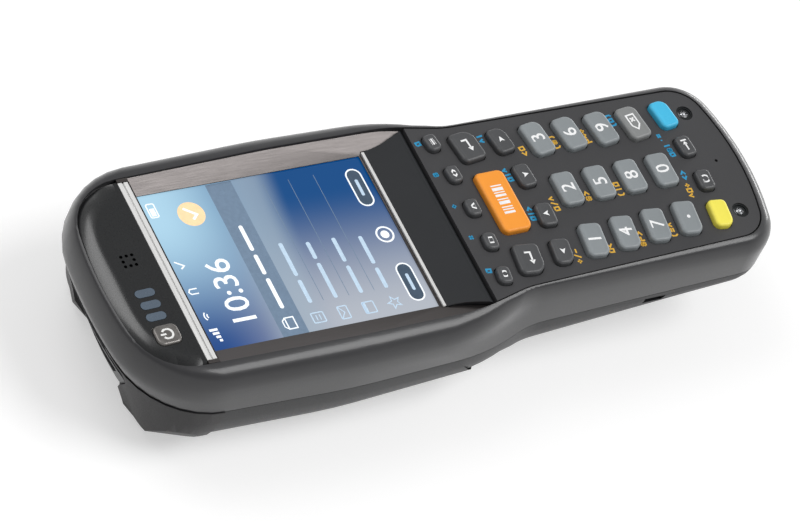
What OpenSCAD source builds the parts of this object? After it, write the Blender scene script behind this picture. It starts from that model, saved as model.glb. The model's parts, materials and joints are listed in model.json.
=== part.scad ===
// Portable barcode data terminal for one hand: a wide head with the display and, in its end,
// the scan window, and a narrower grip with the keypad.
// X runs across the face, Y from the tail to the head and Z out of the face. The origin lies
// under the middle of the terminal, on the surface that its back rests on. Sizes are in mm.

/* [Housing] */
// Width across the head
head_w = 70.8; // [69.4:0.2:72.4]
// Width across the keypad grip
grip_w = 55.2; // [54.4:0.2:57]
// Height of the display glass over the surface that the back rests on
glass_z = 32.6; // [32.2:0.1:34]
// Rise of the rim over the glass, beside the display
rim_rise = 3.6; // [3.3:0.1:4.2]
// Width of the rounded rim beside the display
head_rim = 5.6; // [5.2:0.1:5.9]
// Width of the rounded rim beside the keypad, at its tail
grip_rim = 3.1; // [2.8:0.1:3.4]
// Width of the rim at the head's tip
tip_rim = 2; // [1.6:0.1:2.6]
// Width of the rim at the tail
tail_rim = 4.3; // [3.8:0.1:5]
// Height of the joint between the two covers at the head
joint_z_head = 20.5; // [20:0.1:21]
// Height of the joint between the two covers at the grip
joint_z_grip = 24.4; // [24:0.1:25]
// Height of the rear cover's back at the head
back_z_head = 2.5; // [2.2:0.1:3]
// Rise of the back from the head to the tail
back_rise = 16.3; // [15.6:0.1:16.8]
// Housing wall
wall = 2; // [1.6:0.1:2.2]
// Width of each seam that shows
seam = 0.16; // [0.1:0.02:0.2]
// Width of the groove round the keypad plate and the glossy panel
face_gap = 0.4; // [0.3:0.05:0.5]

/* [Display] */
// Width of the visible screen
screen_w = 48.5; // [47:0.1:49.3]
// Length of the visible screen
screen_h = 65; // [62:0.2:67]
// Thickness of the touch glass
glass_t = 1.1; // [0.8:0.1:1.3]
// Thickness of the display module
module_t = 3.6; // [3:0.1:4]
// Thickness of the foam gasket on the glass
gasket_t = 0.3; // [0.25:0.05:0.4]
// Rise of the sloping frame over the glass
frame_rise = 2.9; // [2.6:0.1:3.1]
// Width of the silver trim strip
trim_w = 2.9; // [2.4:0.1:3.1]

/* [Top panel] */
// Length of the glossy panel
panel_len = 16.9; // [16.5:0.1:18]
// Thickness of the glossy panel
panel_t = 1.6; // [1.4:0.1:1.9]
// Fall of the glossy panel towards the tip, in degrees
panel_tilt = 3.6; // [3:0.1:4]
// Width of one status light
light_w = 2.3; // [2:0.1:2.5]
// Length of one status light
light_len = 5.4; // [4.8:0.1:6]
// Width of the power button
power_w = 5.8; // [5.2:0.1:6.2]
// Length of the power button
power_h = 6.6; // [6:0.1:7]
// Travel of the power button
power_travel = 0.6; // [0.4:0.1:0.7]

/* [Keypad] */
// Length of the keypad plate
plate_len = 88.6; // [88:0.2:90]
// Thickness of the keypad plate
plate_t = 1.6; // [1.4:0.1:1.8]
// Length of the sloping panel between the display and the keypad
chin_len = 12.9; // [12.4:0.1:14]
// Rise of the keypad plate towards the tail, in degrees
keypad_tilt = 0.86; // [0.6:0.02:1]
// Height of the keys over the plate
key_rise = 1.5; // [1.2:0.1:1.8]
// Travel of a key
key_travel = 0.8; // [0.6:0.1:0.9]
// Gap round each key
key_gap = 0.25; // [0.2:0.01:0.3]
// Distance between two rows of digit keys
row_pitch = 9.75; // [9.6:0.05:9.85]
// Width of a digit key
digit_w = 10.4; // [9.8:0.1:10.6]
// Length of a digit key
digit_h = 6.5; // [6:0.1:6.7]
// Width of the scan key
scan_w = 19.2; // [18.4:0.1:20]
// Length of the scan key
scan_h = 8.6; // [8:0.1:8.8]
// Turn of the outer keys, in degrees
key_turn = 7; // [5:0.5:8]

/* [Back] */
// Width of the flat block on the back that holds the battery
block_w = 46; // [45:0.2:47]
// Radius of the block's edges
block_edge = 3; // [2.4:0.1:3.2]
// Width of the battery cover
door_w = 36; // [35:0.1:36.6]
// Length of the battery cover from its hinge to its free edge
door_len = 63; // [61:0.2:64]
// Thickness of the battery cover
door_t = 2.2; // [2:0.1:2.4]
// Radius of the hinge pin
pin_r = 0.75; // [0.6:0.05:0.85]
// Travel of the battery latch
latch_travel = 2.4; // [1.8:0.1:2.6]
// Thickness of the battery pack
battery_t = 11.4; // [10.4:0.1:11.6]
// Length of a wrist strap slot
strap_len = 6.4; // [5.6:0.1:7]
// Width of a wrist strap slot
strap_t = 2.4; // [2:0.1:2.8]
// Radius of a cover screw's head
screw_head_r = 2.1; // [1.8:0.1:2.3]

/* [Hidden] */
$fn = 48;
cut = 1;                 // how far a cutting solid runs past the face that it cuts
touch = 0.05;            // gap between pieces that rest on each other
slide_gap = 0.15;        // gap round a piece that slides

// Stations along the terminal
screen_margin = 1.25;    // from the lower trim to the screen
trim_margin = 1.45;      // from the screen to the upper trim
trim_land = 0.25;        // the frame's flat edge beside it
body_len = tail_rim + plate_len + chin_len + screen_margin + screen_h + trim_margin
    + trim_w + panel_len + tip_rim;
tail_y = -body_len / 2;
tip_y = body_len / 2;
plate_y = tail_y + tail_rim + plate_len;
chin_y = plate_y + chin_len;
screen_y0 = chin_y + screen_margin;
screen_y1 = screen_y0 + screen_h;
screen_y = (screen_y0 + screen_y1) / 2;
trim_y = screen_y1 + trim_margin;
panel_y = trim_y + trim_w;

// Plan of the housing
waist_y = plate_y - 10.7;
shoulder_y = plate_y + 5.1;
widest_y = plate_y + 40;
shoulder_in = 1;
undercut = 3.6;          // how far the head's tip tucks in at the joint
joint_in = 0.35;
joint_back = 6;          // how far the waist lies towards the tail at the joint
back_back = 12;          // and on the back

function mix(a, b, t) = a + (b - a) * t;
function smooth(t) = let (c = min(1, max(0, t))) c * c * (3 - 2 * c);
function unit(v) = v / norm(v);
function flip_y(points) = [for (i = [len(points) - 1:-1:0]) [points[i].x, -points[i].y]];
function whole(half) = concat(half, [for (i = [len(half) - 2:-1:1]) [-half[i].x, half[i].y]]);
function arc(c, r, a0, a1, n) =
    [for (i = [0:n]) let (a = mix(a0, a1, i / n)) c + r * [cos(a), sin(a)]];

// The corner at b, between a and c, as an arc
function bend(a, b, c, r, n) =
    let (u = unit(a - b), v = unit(c - b), half = acos(u * v) / 2,
        o = b + unit(u + v) * r / sin(half),
        p = b + u * r / tan(half) - o, q = b + v * r / tan(half) - o,
        a0 = atan2(p.y, p.x), turn = atan2(q.y, q.x) - a0,
        short = turn > 180 ? turn - 360 : turn < -180 ? turn + 360 : turn)
    arc(o, r, a0, a0 + short, n);

// A rounded end, from the side to the tip: a corner arc of radius r that meets a wide bow
function end_arcs(side, r, bow, tip) =
    let (cx = side - r, turn = asin(cx / (bow - r)), cy = tip - bow + (bow - r) * cos(turn),
        top = arc([0, tip - bow], bow, 90 - turn, 90, 4))
    concat(arc([cx, cy], r, 0, 90 - turn, 8), [for (i = [1:4]) top[i]]);

// Half of a plan of the housing, from the middle of the tail to the middle of the tip.
// tail and head are [half width, corner radius, bow radius, y of the end]
// and back moves the waist towards the tail
function half_plan(tail, waist_x, shoulder_x, wide_x, head, inset = 0, back = 0) =
    let (lean = atan2(shoulder_x - waist_x, shoulder_y - waist_y) / 2,
        tail_side = [tail[0] - inset, tail[3] + tail[1]],
        waist = [waist_x - inset, waist_y - back + inset * tan(lean)],
        shoulder = [shoulder_x - inset, shoulder_y - back + inset * tan(lean)],
        wide = [wide_x - inset, widest_y],
        head_side = [head[0] - inset, head[3] - head[1]])
    concat(
        flip_y(end_arcs(tail[0] - inset, tail[1] - inset, tail[2] - inset, -tail[3] - inset)),
        bend(tail_side, waist, shoulder, 25 + inset, 4),
        bend(waist, shoulder, wide, 60 - inset, 5),
        bend(shoulder, wide, head_side, 200 - inset, 2),
        end_arcs(head[0] - inset, head[1] - inset, head[2] - inset, head[3] - inset));

function body_plan(inset = 0) = whole(half_plan([grip_w / 2, 12, 75, tail_y], grip_w / 2,
    head_w / 2 - shoulder_in, head_w / 2, [head_w / 2 - 0.9, 24, 130, tip_y], inset));
function joint_plan(inset = 0) = whole(half_plan(
    [grip_w / 2 - joint_in, 10, 75, tail_y + joint_in], grip_w / 2 - joint_in,
    head_w / 2 - 2 * shoulder_in - joint_in, head_w / 2 - joint_in,
    [head_w / 2 - 0.9 - joint_in, 22, 130, tip_y - undercut], inset, joint_back));
function face_plan(inset = 0) = whole(half_plan(
    [grip_w / 2 - grip_rim, 9, 70, tail_y + tail_rim], grip_w / 2 - grip_rim / 2,
    head_w / 2 - head_rim - 0.3, head_w / 2 - head_rim,
    [head_w / 2 - head_rim - 0.9, 15.5, 110, tip_y - tip_rim], inset));
back_in = 10;            // from the side of the head to its flat back
back_in_grip = 7;
back_tail_in = 5;
back_tip_in = 13.9;
function back_plan(inset = 0, tip_in = back_tip_in, r = 11) = whole(half_plan(
    [grip_w / 2 - back_in_grip, 7, 60, tail_y + back_tail_in], grip_w / 2 - back_in_grip,
    head_w / 2 - back_in - 3 * shoulder_in, head_w / 2 - back_in,
    [head_w / 2 - back_in, r, 90, tip_y - tip_in], inset, back_back));

// Heights along the terminal
plate_rise = 3.75;       // the keypad plate's head end over the glass
chin_rise = 1.05;        // the sloping panel's lower edge over the glass
panel_rise = 2.75;       // the glossy panel's edge at the trim over the glass
back_bend_y = 45;
back_curve = 1.84;
function plate_z(y) = glass_z + plate_rise + (plate_y - y) * tan(keypad_tilt);
function panel_z(y) = glass_z + panel_rise - (y - panel_y) * tan(panel_tilt);
function rim_z(y) =
    y < plate_y ? plate_z(y) + 0.1
    : mix(mix(plate_z(plate_y) + 0.1, glass_z + rim_rise, smooth((y - plate_y) / chin_len)),
        panel_z(tip_y) + 0.3, smooth((y - screen_y1 + 8) / (panel_len + 14)));
function joint_z(y) = mix(joint_z_head, joint_z_grip, smooth((waist_y - 4 - y) / 55));
function back_z(y) = back_z_head
    + back_rise * pow(max(0, back_bend_y - y) / (back_bend_y - tail_y), back_curve);

// A ring of 3D points: plan a blends to plan b by u, and height za to height zb by w
function ring(a, b, u, za, zb, w, head_u = undef) = [for (i = [0:len(a) - 1])
    let (x = mix(a[i].x, b[i].x, u),
        y = mix(a[i].y, b[i].y, a[i].y > 0 && head_u != undef ? head_u : u))
    [x, y, mix(za(y), zb(y), w)]];

// A closed solid through rings that mirror in X, the lowest ring first
module loft(rings) {
    n = len(rings[0]);
    last = n * (len(rings) - 1);
    polyhedron(
        points = [for (r = rings, p = r) p],
        faces = concat(
            [for (a = [0:n:last - 1], i = [0:n - 1]) let (j = (i + 1) % n)
                each i < n / 2
                    ? [[a + i, a + n + i, a + n + j], [a + i, a + n + j, a + j]]
                    : [[a + i, a + n + i, a + j], [a + n + i, a + n + j, a + j]]],
            [for (i = [0:n / 2 - 1]) strip(i, n, 0)],
            [for (i = [0:n / 2 - 1]) let (s = strip(i, n, last))
                [for (k = [len(s) - 1:-1:0]) s[k]]]));
}
function strip(i, n, base) = i == 0 ? [base, base + 1, base + n - 1]
    : i == n / 2 - 1 ? [base + i, base + i + 1, base + n - i]
    : [base + i, base + i + 1, base + n - i - 1, base + n - i];

steps = 6;               // rows of facets in a rounded edge
straight = 0.6;          // share of the front cover's height that stands straight
cavity_low = 0.08;       // how far its inside runs on under the joint, as such a share

// The front cover's outside: from the joint up the side and over the rounded rim
module front_form(inset = 0) {
    jz = function (y) joint_z(y);
    rz = function (y) rim_z(y);
    loft(concat(
        [ring(joint_plan(inset), body_plan(inset), 0, jz, rz, 0),
            ring(joint_plan(inset), body_plan(inset), 0.8, jz, rz, 0.3),
            ring(body_plan(inset), body_plan(inset), 0, jz, rz, 0.46)],
        [for (k = [0:steps]) let (a = 90 * k / steps)
            ring(body_plan(inset), face_plan(inset), 1 - cos(a), jz, rz,
                straight + (1 - straight) * sin(a))]));
}

// The rear cover's outside: from its flat back up round the sides to the joint
module rear_form(inset = 0, over = 0, tip_in = back_tip_in, r = 11) {
    bz = function (y) back_z(y) + inset;
    jz = function (y) joint_z(y) + over;
    loft([for (k = [steps:-1:0]) let (a = 90 * k / steps)
        ring(joint_plan(inset), back_plan(inset, tip_in, r), 1 - cos(a), jz, bz, sin(a), sin(a))]);
}

// ---- Shared shapes ----
module prism(points, z0, z1) translate([0, 0, z0]) linear_extrude(z1 - z0) polygon(points);
// A box across the terminal, between two stations and two heights
module bar(w, y, z) translate([-w / 2, y[0], z[0]]) cube([w, y[1] - y[0], z[1] - z[0]]);
module both() {
    children();
    mirror([1, 0, 0]) children();
}
// A rectangle with its own corner radii: tail left, tail right, head right, head left
function pad(w, h, r, n = 4) = concat(
    arc([-w / 2 + r[0], -h / 2 + r[0]], r[0], 180, 270, n),
    arc([w / 2 - r[1], -h / 2 + r[1]], r[1], 270, 360, n),
    arc([w / 2 - r[2], h / 2 - r[2]], r[2], 0, 90, n),
    arc([-w / 2 + r[3], h / 2 - r[3]], r[3], 90, 180, n));
function rounded(w, h, r, n = 4) = pad(w, h, [r, r, r, r], n);
function moved(points, by) = [for (p = points) p + by];
module pill(len, w, z) {
    for (s = [-1, 1]) translate([0, s * (len - w) / 2, z[0]]) cylinder(d = w, h = z[1] - z[0]);
    translate([-w / 2, (w - len) / 2, z[0]]) cube([w, len - w, z[1] - z[0]]);
}
// A closed solid through convex layers [plan, height], the lowest first
module layers(list) {
    n = len(list[0][0]);
    last = n * (len(list) - 1);
    polyhedron(
        points = [for (l = list, p = l[0]) [p.x, p.y, l[1]]],
        faces = concat(
            [for (a = [0:n:last - 1], i = [0:n - 1]) let (j = (i + 1) % n)
                each [[a + i, a + n + i, a + n + j], [a + i, a + n + j, a + j]]],
            [[for (i = [0:n - 1]) i], [for (i = [n - 1:-1:0]) last + i]]));
}

// Frames of the sloping faces: z is 0 on the face and y runs towards the head
module on_plate() translate([0, plate_y, plate_z(plate_y)]) rotate([-keypad_tilt, 0, 0])
    children();
module on_panel() translate([0, panel_y, panel_z(panel_y)]) rotate([-panel_tilt, 0, 0])
    children();
module over(z) translate([-head_w, -body_len, z]) cube([2 * head_w, 2 * body_len, glass_z]);

// ---- Levels of the pieces inside ----
ledge_w = 1.4;           // the ledge that carries the face pieces
ledge_t = 1.6;
lip_t = 0.3;             // the frame's edge over the gasket
fit = 0.1;               // gap round a piece that is put into a seat
frame_z = glass_z - glass_t - touch;
ledge_z = frame_z - touch;
ledge_under = ledge_z - ledge_t;
module_z = frame_z - module_t;
tray_t = 0.8;
tray_z = module_z - touch - tray_t;
glass_side = 3.15;       // the glass's border beside the screen
glass_tail = 2.8;
glass_head = 2.2;
glass_w = screen_w + 2 * glass_side;
glass_y = [screen_y0 - glass_tail, screen_y1 + glass_head];
rib_y = [plate_y - 1.2, plate_y + 1.8];   // the bar between display and keypad
seal_w = 0.8;
seal_h = 2;              // room for the seal over the joint

// ---- Cover screws and their bosses ----
boss_r = 3.4;
boss_x = [head_w / 2 - 10.4, grip_w / 2 - 6.8];
boss_y = [trim_y - 9.6, waist_y - 14.4];
boss_top = [tray_z - 1, plate_z(plate_y) - 9];
boss_wall_x = [head_w / 2 - 0.9 - wall / 2, grip_w / 2 - wall / 2];
pilot_r = 1.1;
screw_len = 12;
screw_head_t = 1.6;
function seat_z(i) = joint_z(boss_y[i]) - 8;
keypad_screw_x = grip_w / 2 - 11.3;
keypad_screw_y = -80.75; // down the plate from its head end
keypad_screw_r = 1.7;
keypad_screw_t = 0.6;
keypad_screw_sink = 0.5; // how far its head lies under the plate's face
keypad_recess = 0.6;     // from its head to the recess's side
post_r = 2.3;

// ---- Front cover ----
// The inside of the front cover, up to the ledge
module front_cavity() {
    jz = function (y) joint_z(y);
    rz = function (y) rim_z(y);
    keypad_under = function (y) plate_z(y) - plate_t - touch - ledge_t;
    top = function (y) y < waist_y ? keypad_under(y) : ledge_under;
    loft([ring(joint_plan(wall), body_plan(wall), 0, jz, rz, -cavity_low),
        ring(joint_plan(wall), body_plan(wall), 0.8, jz, rz, 0.3),
        ring(body_plan(wall), body_plan(wall), 0, jz, rz, 0.46),
        ring(body_plan(wall), body_plan(wall), 0, top, top, 0)]);
}
module front_openings() {
    // Through the ledge, on both sides of the rib
    intersection() {
        prism(face_plan(ledge_w), joint_z_head, 2 * glass_z);
        union() {
            bar(2 * head_w, [rib_y[1], body_len], [joint_z_head, 2 * glass_z]);
            bar(2 * head_w, [-body_len, rib_y[0]], [joint_z_head, 2 * glass_z]);
        }
    }
    // The seats of the screen frame, the keypad plate and the glossy panel
    intersection() {
        prism(face_plan(), ledge_under, 2 * glass_z);
        union() {
            bar(2 * head_w, [plate_y, panel_y], [ledge_z, 2 * glass_z]);
            intersection() {
                on_plate() over(-plate_t - touch);
                bar(2 * head_w, [-body_len, plate_y], [0, 2 * glass_z]);
            }
            intersection() {
                on_panel() over(-panel_t - touch);
                bar(2 * head_w, [panel_y, body_len], [0, 2 * glass_z]);
            }
        }
    }
}
module front_cover() color("#4b4d50") difference() {
    union() {
        difference() {
            front_form();
            front_cavity();
            front_openings();
        }
        for (i = [0, 1]) both() {
            z = joint_z(boss_y[i]) + touch;
            rib = z + seal_h + 2 * fit;
            translate([boss_x[i], boss_y[i], z]) cylinder(r = boss_r, h = boss_top[i] - z);
            translate([boss_x[i], boss_y[i] - 1.2, rib])
                cube([boss_wall_x[i] - boss_x[i], 2.4, boss_top[i] - rib]);
        }
    }
    for (i = [0, 1]) both() translate([boss_x[i], boss_y[i], joint_z_head - cut])
        cylinder(r = pilot_r, h = boss_top[i] - joint_z_head + cut - 0.6);
}

// ---- Rear cover ----
hinge_y = -8.2;
hinge_z = 1.9;
barrel_r = 1.7;
door_z = 0.2;            // how far the door lies inside the block's flat back
door_gap = 0.2;
door_y1 = hinge_y + door_len;
bay_w = door_w - 2;      // the door's edge rests on a 1 mm ledge along each side
bay_y = [hinge_y + 4.1, door_y1 - 5.9];
bay_top = door_z + door_t + 0.2 + battery_t + fit;
tub_t = 1.4;
block_y = [hinge_y - 3.4, door_y1 + 5.6];
block_ramp = 3;          // run over rise of the block's tail
block_depth = 12;
latch_y = door_y1 - 8.4; // tail edge of the latch at rest
latch_body = [11.6, 4.4];
latch_rail = 0.8;
latch_z = 1.8;
latch_t = 0.8;
tongue_w = 5;
end_wall = 1.45;         // between the latch and the door's free edge
scan_z = (joint_z_head + back_z_head) / 2;
scan_lean = atan2(joint_z_head - back_z_head, back_tip_in - undercut);   // of the end face
bezel_w = [39, 20];      // at its upper and at its lower edge
bezel_y = [-8.2, 8.6];   // those edges, down from the middle of the end face
bezel_t = 0.8;           // how far its flange stands out
bezel_edge = 1.5;        // width of that flange outside the hole
bezel_in = 0.6;          // how far it reaches in behind the wall
view_in = 3.4;           // from its outline to the opening for the window
strap_y = plate_y - 55.3 - strap_len / 2;
strap_z = joint_z_grip - 4.7;
dock_y = tail_y + 14.6;
dock_w = 22;
dock_h = 5;

function end_y(z) = let (t = (joint_z_head - z) / (joint_z_head - back_z_head))
    mix(tip_y - undercut, tip_y - back_tip_in, t);
module on_end() translate([0, end_y(scan_z), scan_z]) rotate([-180 + scan_lean, 0, 0])
    children();
module on_back(y) translate([0, y, back_z(y)])
    rotate([atan((back_z(y - 1) - back_z(y + 1)) / -2), 0, 0]) children();

// The block that holds the battery: flat below, rounded along its sides, ramped to the tail
module block() {
    plan = function (in, z) let (w = block_w - 2 * in, y0 = block_y[0] - block_ramp * z,
            y1 = block_y[1] + block_edge - in)
        moved(rounded(w, y1 - y0, 7 - in, 5), [0, (y0 + y1) / 2]);
    layers(concat([for (a = [0:22.5:90]) let (z = block_edge * (1 - cos(a)))
        [plan(block_edge * (1 - sin(a)), z), z]],
        [[plan(0, block_depth), block_depth]]));
}
module door_space() {
    y0 = hinge_y - barrel_r - 0.3;
    bar(door_w + 2 * door_gap, [hinge_y, door_y1 + door_gap], [-cut, door_z + door_t + touch]);
    bar(door_w + 2 * door_gap, [y0, hinge_y + barrel_r + 0.4],
        [-cut, hinge_z + barrel_r + 0.3]);
    bar(bay_w, bay_y, [-cut, bay_top]);
    // Keeper pocket of the latch
    bar(tongue_w + 4 * slide_gap, [door_y1, door_y1 + latch_travel + 0.4],
        [latch_z - latch_t - slide_gap, latch_z + slide_gap]);
    translate([-door_w / 2 - 2.4, hinge_y, hinge_z]) rotate([0, 90, 0])
        cylinder(r = pin_r + touch, h = door_w + 4.8);
}
module rear_cavity() difference() {
    rear_form(wall, cut);
    bar(bay_w + 2 * tub_t, [bay_y[0] - tub_t, bay_y[1] + tub_t], [0, bay_top + tub_t]);
}
module strap_space() {
    block = 6;
    inner_x = grip_w / 2 - block;
    translate([inner_x, strap_y, strap_z - strap_t / 2]) cube([2 * block, strap_len, strap_t]);
    translate([inner_x, strap_y, 0]) cube([strap_t, strap_len, strap_z]);
}
module rear_cover() color("#434548") difference() {
    union() {
        difference() {
            union() {
                rear_form(0, -seam);
                block();
            }
            rear_cavity();
        }
        intersection() {
            rear_form(wall / 2, -seam);
            both() {
                for (i = [0, 1]) translate([boss_x[i], boss_y[i], 0])
                    cylinder(r = boss_r, h = joint_z(boss_y[i]) - seam);
                translate([grip_w / 2 - 8, strap_y - 1.5, 0])
                    cube([8, strap_len + 3, joint_z_grip - 2]);
            }
        }
        both() translate([keypad_screw_x, plate_y + keypad_screw_y, back_z(tail_y + 12)])
            cylinder(r = post_r, h = plate_z(plate_y + keypad_screw_y) - plate_t - 0.3
                - back_z(tail_y + 12));
    }
    door_space();
    both() strap_space();
    both() for (i = [0, 1]) translate([boss_x[i], boss_y[i], -cut]) {
        cylinder(r = screw_head_r + 0.15, h = seat_z(i) + cut);
        cylinder(r = pilot_r + 0.1, h = glass_z);
    }
    both() translate([keypad_screw_x, plate_y + keypad_screw_y, joint_z_grip])
        cylinder(r = 0.95, h = glass_z);
    bezel_hole(-bezel_edge);
    on_back(dock_y) bar(dock_w, [-dock_h / 2, dock_h / 2], [-cut, 2 * wall]);
}

// ---- Display ----
trim_z = glass_z + 2.8;
trim_t = 0.9;
trim_len = glass_w + 4 * fit;
trim_groove = [0.5, 0.35]; // width and depth of the groove along its middle
low_trim = [-0.3, 0.5];  // the lower trim's edges, from the end of the sloping panel's run
frame_base = glass_z + gasket_t + lip_t;
chin_gap = 0.45;         // from the dark panel to the lower end of its seat
chin_slope = (plate_rise - chin_rise) / chin_len;
chin_w = [screen_w + 1.5, head_w - 2 * head_rim - 3];   // at the display and at the keypad
chin_roll = 1.3;         // radius of its rounded edge at the keypad

// Plan of the dark panel between the display and the keypad, drawn in by inset
function chin_plan(inset = 0, end = chin_y - chin_gap) =
    let (a = chin_w[0] / 2 - inset, b = chin_w[1] / 2 - inset, y0 = plate_y + inset,
        y1 = end - inset,
        side = [for (t = [0:0.2:1]) [mix(b, a, sin(90 * t)), mix(y0, y1, t)]])
    concat(side, [for (i = [len(side) - 1:-1:0]) [-side[i].x, side[i].y]]);
function chin_z(y) = glass_z + chin_rise + (chin_y - y) * chin_slope;
// The panel's wedge between two stations, drop under its face, its edge at the keypad rounded
module chin_wedge(drop, y, roll) rotate([90, 0, 90]) translate([0, 0, -head_w / 2])
    linear_extrude(head_w) polygon(concat(
        [[y[0], frame_base + touch], [y[1], frame_base + touch], [y[1], chin_z(y[1]) - drop]],
        arc([y[0] + roll, chin_z(y[0] + roll) - drop - roll / cos(atan(chin_slope))], roll,
            90 - atan(chin_slope), 180, 4)));

module screen_frame() color("#8f8a8c") difference() {
    intersection() {
        prism(face_plan(seam), frame_z, glass_z + frame_rise);
        bar(2 * head_w, [plate_y + face_gap, panel_y], [0, 2 * glass_z]);
    }
    // The sloping sides
    z1 = glass_z + frame_rise + cut;
    side_run = (head_w / 2 - head_rim - screen_w / 2) * (z1 - frame_base) / (z1 - frame_base - cut);
    end_run = (trim_margin - trim_land) * (z1 - frame_base) / (z1 - frame_base - cut);
    plan = function (run, end) let (x = screen_w / 2 + run)
        [[-x, plate_y - cut], [x, plate_y - cut], [x, screen_y1 + end], [-x, screen_y1 + end]];
    layers([[plan(0, 0), frame_base], [plan(side_run, end_run), z1]]);
    // The screen's window, the glass's seat and the seats of the trims and the dark panel
    bar(screen_w, [screen_y0, screen_y1], [frame_z - cut, z1]);
    bar(glass_w + 2 * fit, [glass_y[0] - fit, glass_y[1] + fit],
        [frame_z - cut, glass_z + gasket_t]);
    bar(trim_len + 2 * seam, [trim_y - seam / 2, panel_y + cut], [trim_z - trim_t - touch, z1]);
    prism(chin_plan(-seam, chin_y + low_trim[1]), frame_base, z1);
}
module screen_trims() color("#c9c8c6") {
    difference() {
        bar(trim_len, [trim_y + seam / 2, panel_y - seam / 2], [trim_z - trim_t, trim_z]);
        translate([0, (trim_y + panel_y) / 2, 0]) bar(2 * trim_len,
            [-trim_groove[0] / 2, trim_groove[0] / 2], [trim_z - trim_groove[1], 2 * trim_z]);
    }
    bar(screen_w + 1.1, chin_y * [1, 1] + low_trim, [frame_base + touch, glass_z + chin_rise + 0.1]);
}
module chin_panel() color("#3a3b3d") difference() {
    intersection() {
        chin_wedge(0, [plate_y + face_gap, chin_y - chin_gap], chin_roll);
        prism(chin_plan(), glass_z, 2 * glass_z);
    }
    intersection() {
        translate([0, 0, -2 * touch])
            chin_wedge(1.2, [plate_y + face_gap + 1.2, chin_y - 4], 0.4);
        prism(chin_plan(1.2), 0, 2 * glass_z);
    }
}
module touch_panel() color("#5f8fc4")
    bar(glass_w, glass_y, [glass_z - glass_t, glass_z]);
module display_gasket() color("#1c1d1f") difference() {
    bar(glass_w - 2 * fit, [glass_y[0] + fit, glass_y[1] - fit],
        [glass_z + touch, glass_z + gasket_t - touch]);
    bar(screen_w + 0.6, [screen_y0 - 0.3, screen_y1 + 0.3], [glass_z - cut, glass_z + cut]);
}
module display_module() color("#9aa3ab") union() {
    bar(glass_w - 0.4, [glass_y[0] + 0.2, glass_y[1] - 0.2], [module_z, module_z + module_t]);
    // Tail of the flat cable
    bar(14, [glass_y[0] - 1.2 + fit, glass_y[0] + cut], [module_z + 0.4, module_z + 0.8]);
}
module display_tray() color("#7d8186") difference() {
    w = glass_w - 0.4 + 2 * fit;
    y = [glass_y[0] + 0.2 - fit, glass_y[1] - 0.2 + fit];
    flange = 3;
    union() {
        bar(w + 2 * tray_t, [y[0] - tray_t, y[1] + tray_t], [tray_z, ledge_under - touch]);
        bar(w + 2 * tray_t + 2 * flange, [y[0] + 4, y[1] - 4],
            [ledge_under - touch - tray_t, ledge_under - touch]);
    }
    bar(w, y, [tray_z + tray_t, glass_z]);
    bar(15, [y[0] - cut - tray_t, y[0] + cut], [tray_z + tray_t, glass_z]);
    // Openings that lighten the pan
    for (i = [-1, 1], j = [-1, 0, 1]) translate([i * w / 4, screen_y + j * 22, tray_z - cut])
        cylinder(r = 7, h = tray_t + 2 * cut);
}

// ---- Top panel ----
panel_roll = 3;          // width and depth of the panel's rounded front edge
panel_roll_z = 1;
lights = [[-5.1, 7], [-8.7, 7], [-12.3, 7.1]];
power_at = [-18.1, 6.7];
speaker_at = [5, 6.9];
power_rise = 0.65;
board_drop = 4;
module top_panel() color("#232526") difference() {
    intersection() {
        // Each ring: how far in over the rolled edge, and how far under the face
        loft([for (l = [[0, panel_t], [0, panel_roll_z], [0.3, 0.45 * panel_roll_z],
                [0.65, 0.14 * panel_roll_z], [1, 0]])
            let (z = function (y) panel_z(y) - l[1])
            ring(face_plan(face_gap), face_plan(face_gap + panel_roll), l[0] / 3, z, z, 0, l[0])]);
        bar(2 * head_w, [panel_y + seam / 2, body_len], [0, 2 * glass_z]);
    }
    on_panel() {
        for (l = lights) translate(l)
            pill(light_len + 2 * fit, light_w + 2 * fit, [-panel_t - cut, cut]);
        translate(power_at) translate([0, 0, -panel_t - cut]) linear_extrude(panel_t + 2 * cut)
            polygon(rounded(power_w + 2 * slide_gap, power_h + 2 * slide_gap, 1.8, 6));
        for (x = [-1, 0, 1], y = [-1, 0, 1]) if (x != 0 || y != 0)
            translate([speaker_at.x + 1.5 * x, speaker_at.y + 1.5 * y, -panel_t - cut])
                cylinder(r = 0.45, h = panel_t + 2 * cut, $fn = 16);
    }
}
module status_lights() color("#7f8b9c") on_panel() for (l = lights) translate(l)
    pill(light_len, light_w, [-board_drop + touch, fit]);
module power_button() color("#b9b6b2") on_panel() translate(power_at) {
    flange = 0.6;
    under = -panel_t - touch - flange;
    translate([0, 0, under]) linear_extrude(flange)
        polygon(rounded(power_w + 2 * flange, power_h + 2 * flange, 2, 6));
    layers([for (l = [[0, under], [0, power_rise - 0.3], [0.35, power_rise]])
        [rounded(power_w - 2 * l[0], power_h - 2 * l[0], 1.7 - l[0], 6), l[1]]]);
}
module speaker() color("#2b2c2e") on_panel() translate([speaker_at.x, speaker_at.y, 0]) {
    translate([0, 0, -panel_t - touch - 0.8]) cylinder(r = 5.2, h = 0.8);
    translate([0, 0, -panel_t - touch - 2.8]) cylinder(r = 4.4, h = 2.1);
}

// ---- Keypad ----
// Sizes of the keys that aren't digit keys
function_key = [5.3, 3.9];
enter_key = [9.3, 7.4];
arrow_out = [7.9, 5.5];
arrow_in = [7.2, 4.9];
colour_key = [8.6, 5.5];
small_key = [6.5, 4.5];
side_x = grip_w / 2;      // from the middle to the grip's side
digit_x = side_x - 10.85;
digit_in = 0.3;          // how far each row of outer digit keys lies inside the row before
digit_y = 35.3;
digit_lead = 0.65;       // how far the outer digit keys lie ahead of the middle ones
dark = "#4f5153";
mid = "#85888a";

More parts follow.
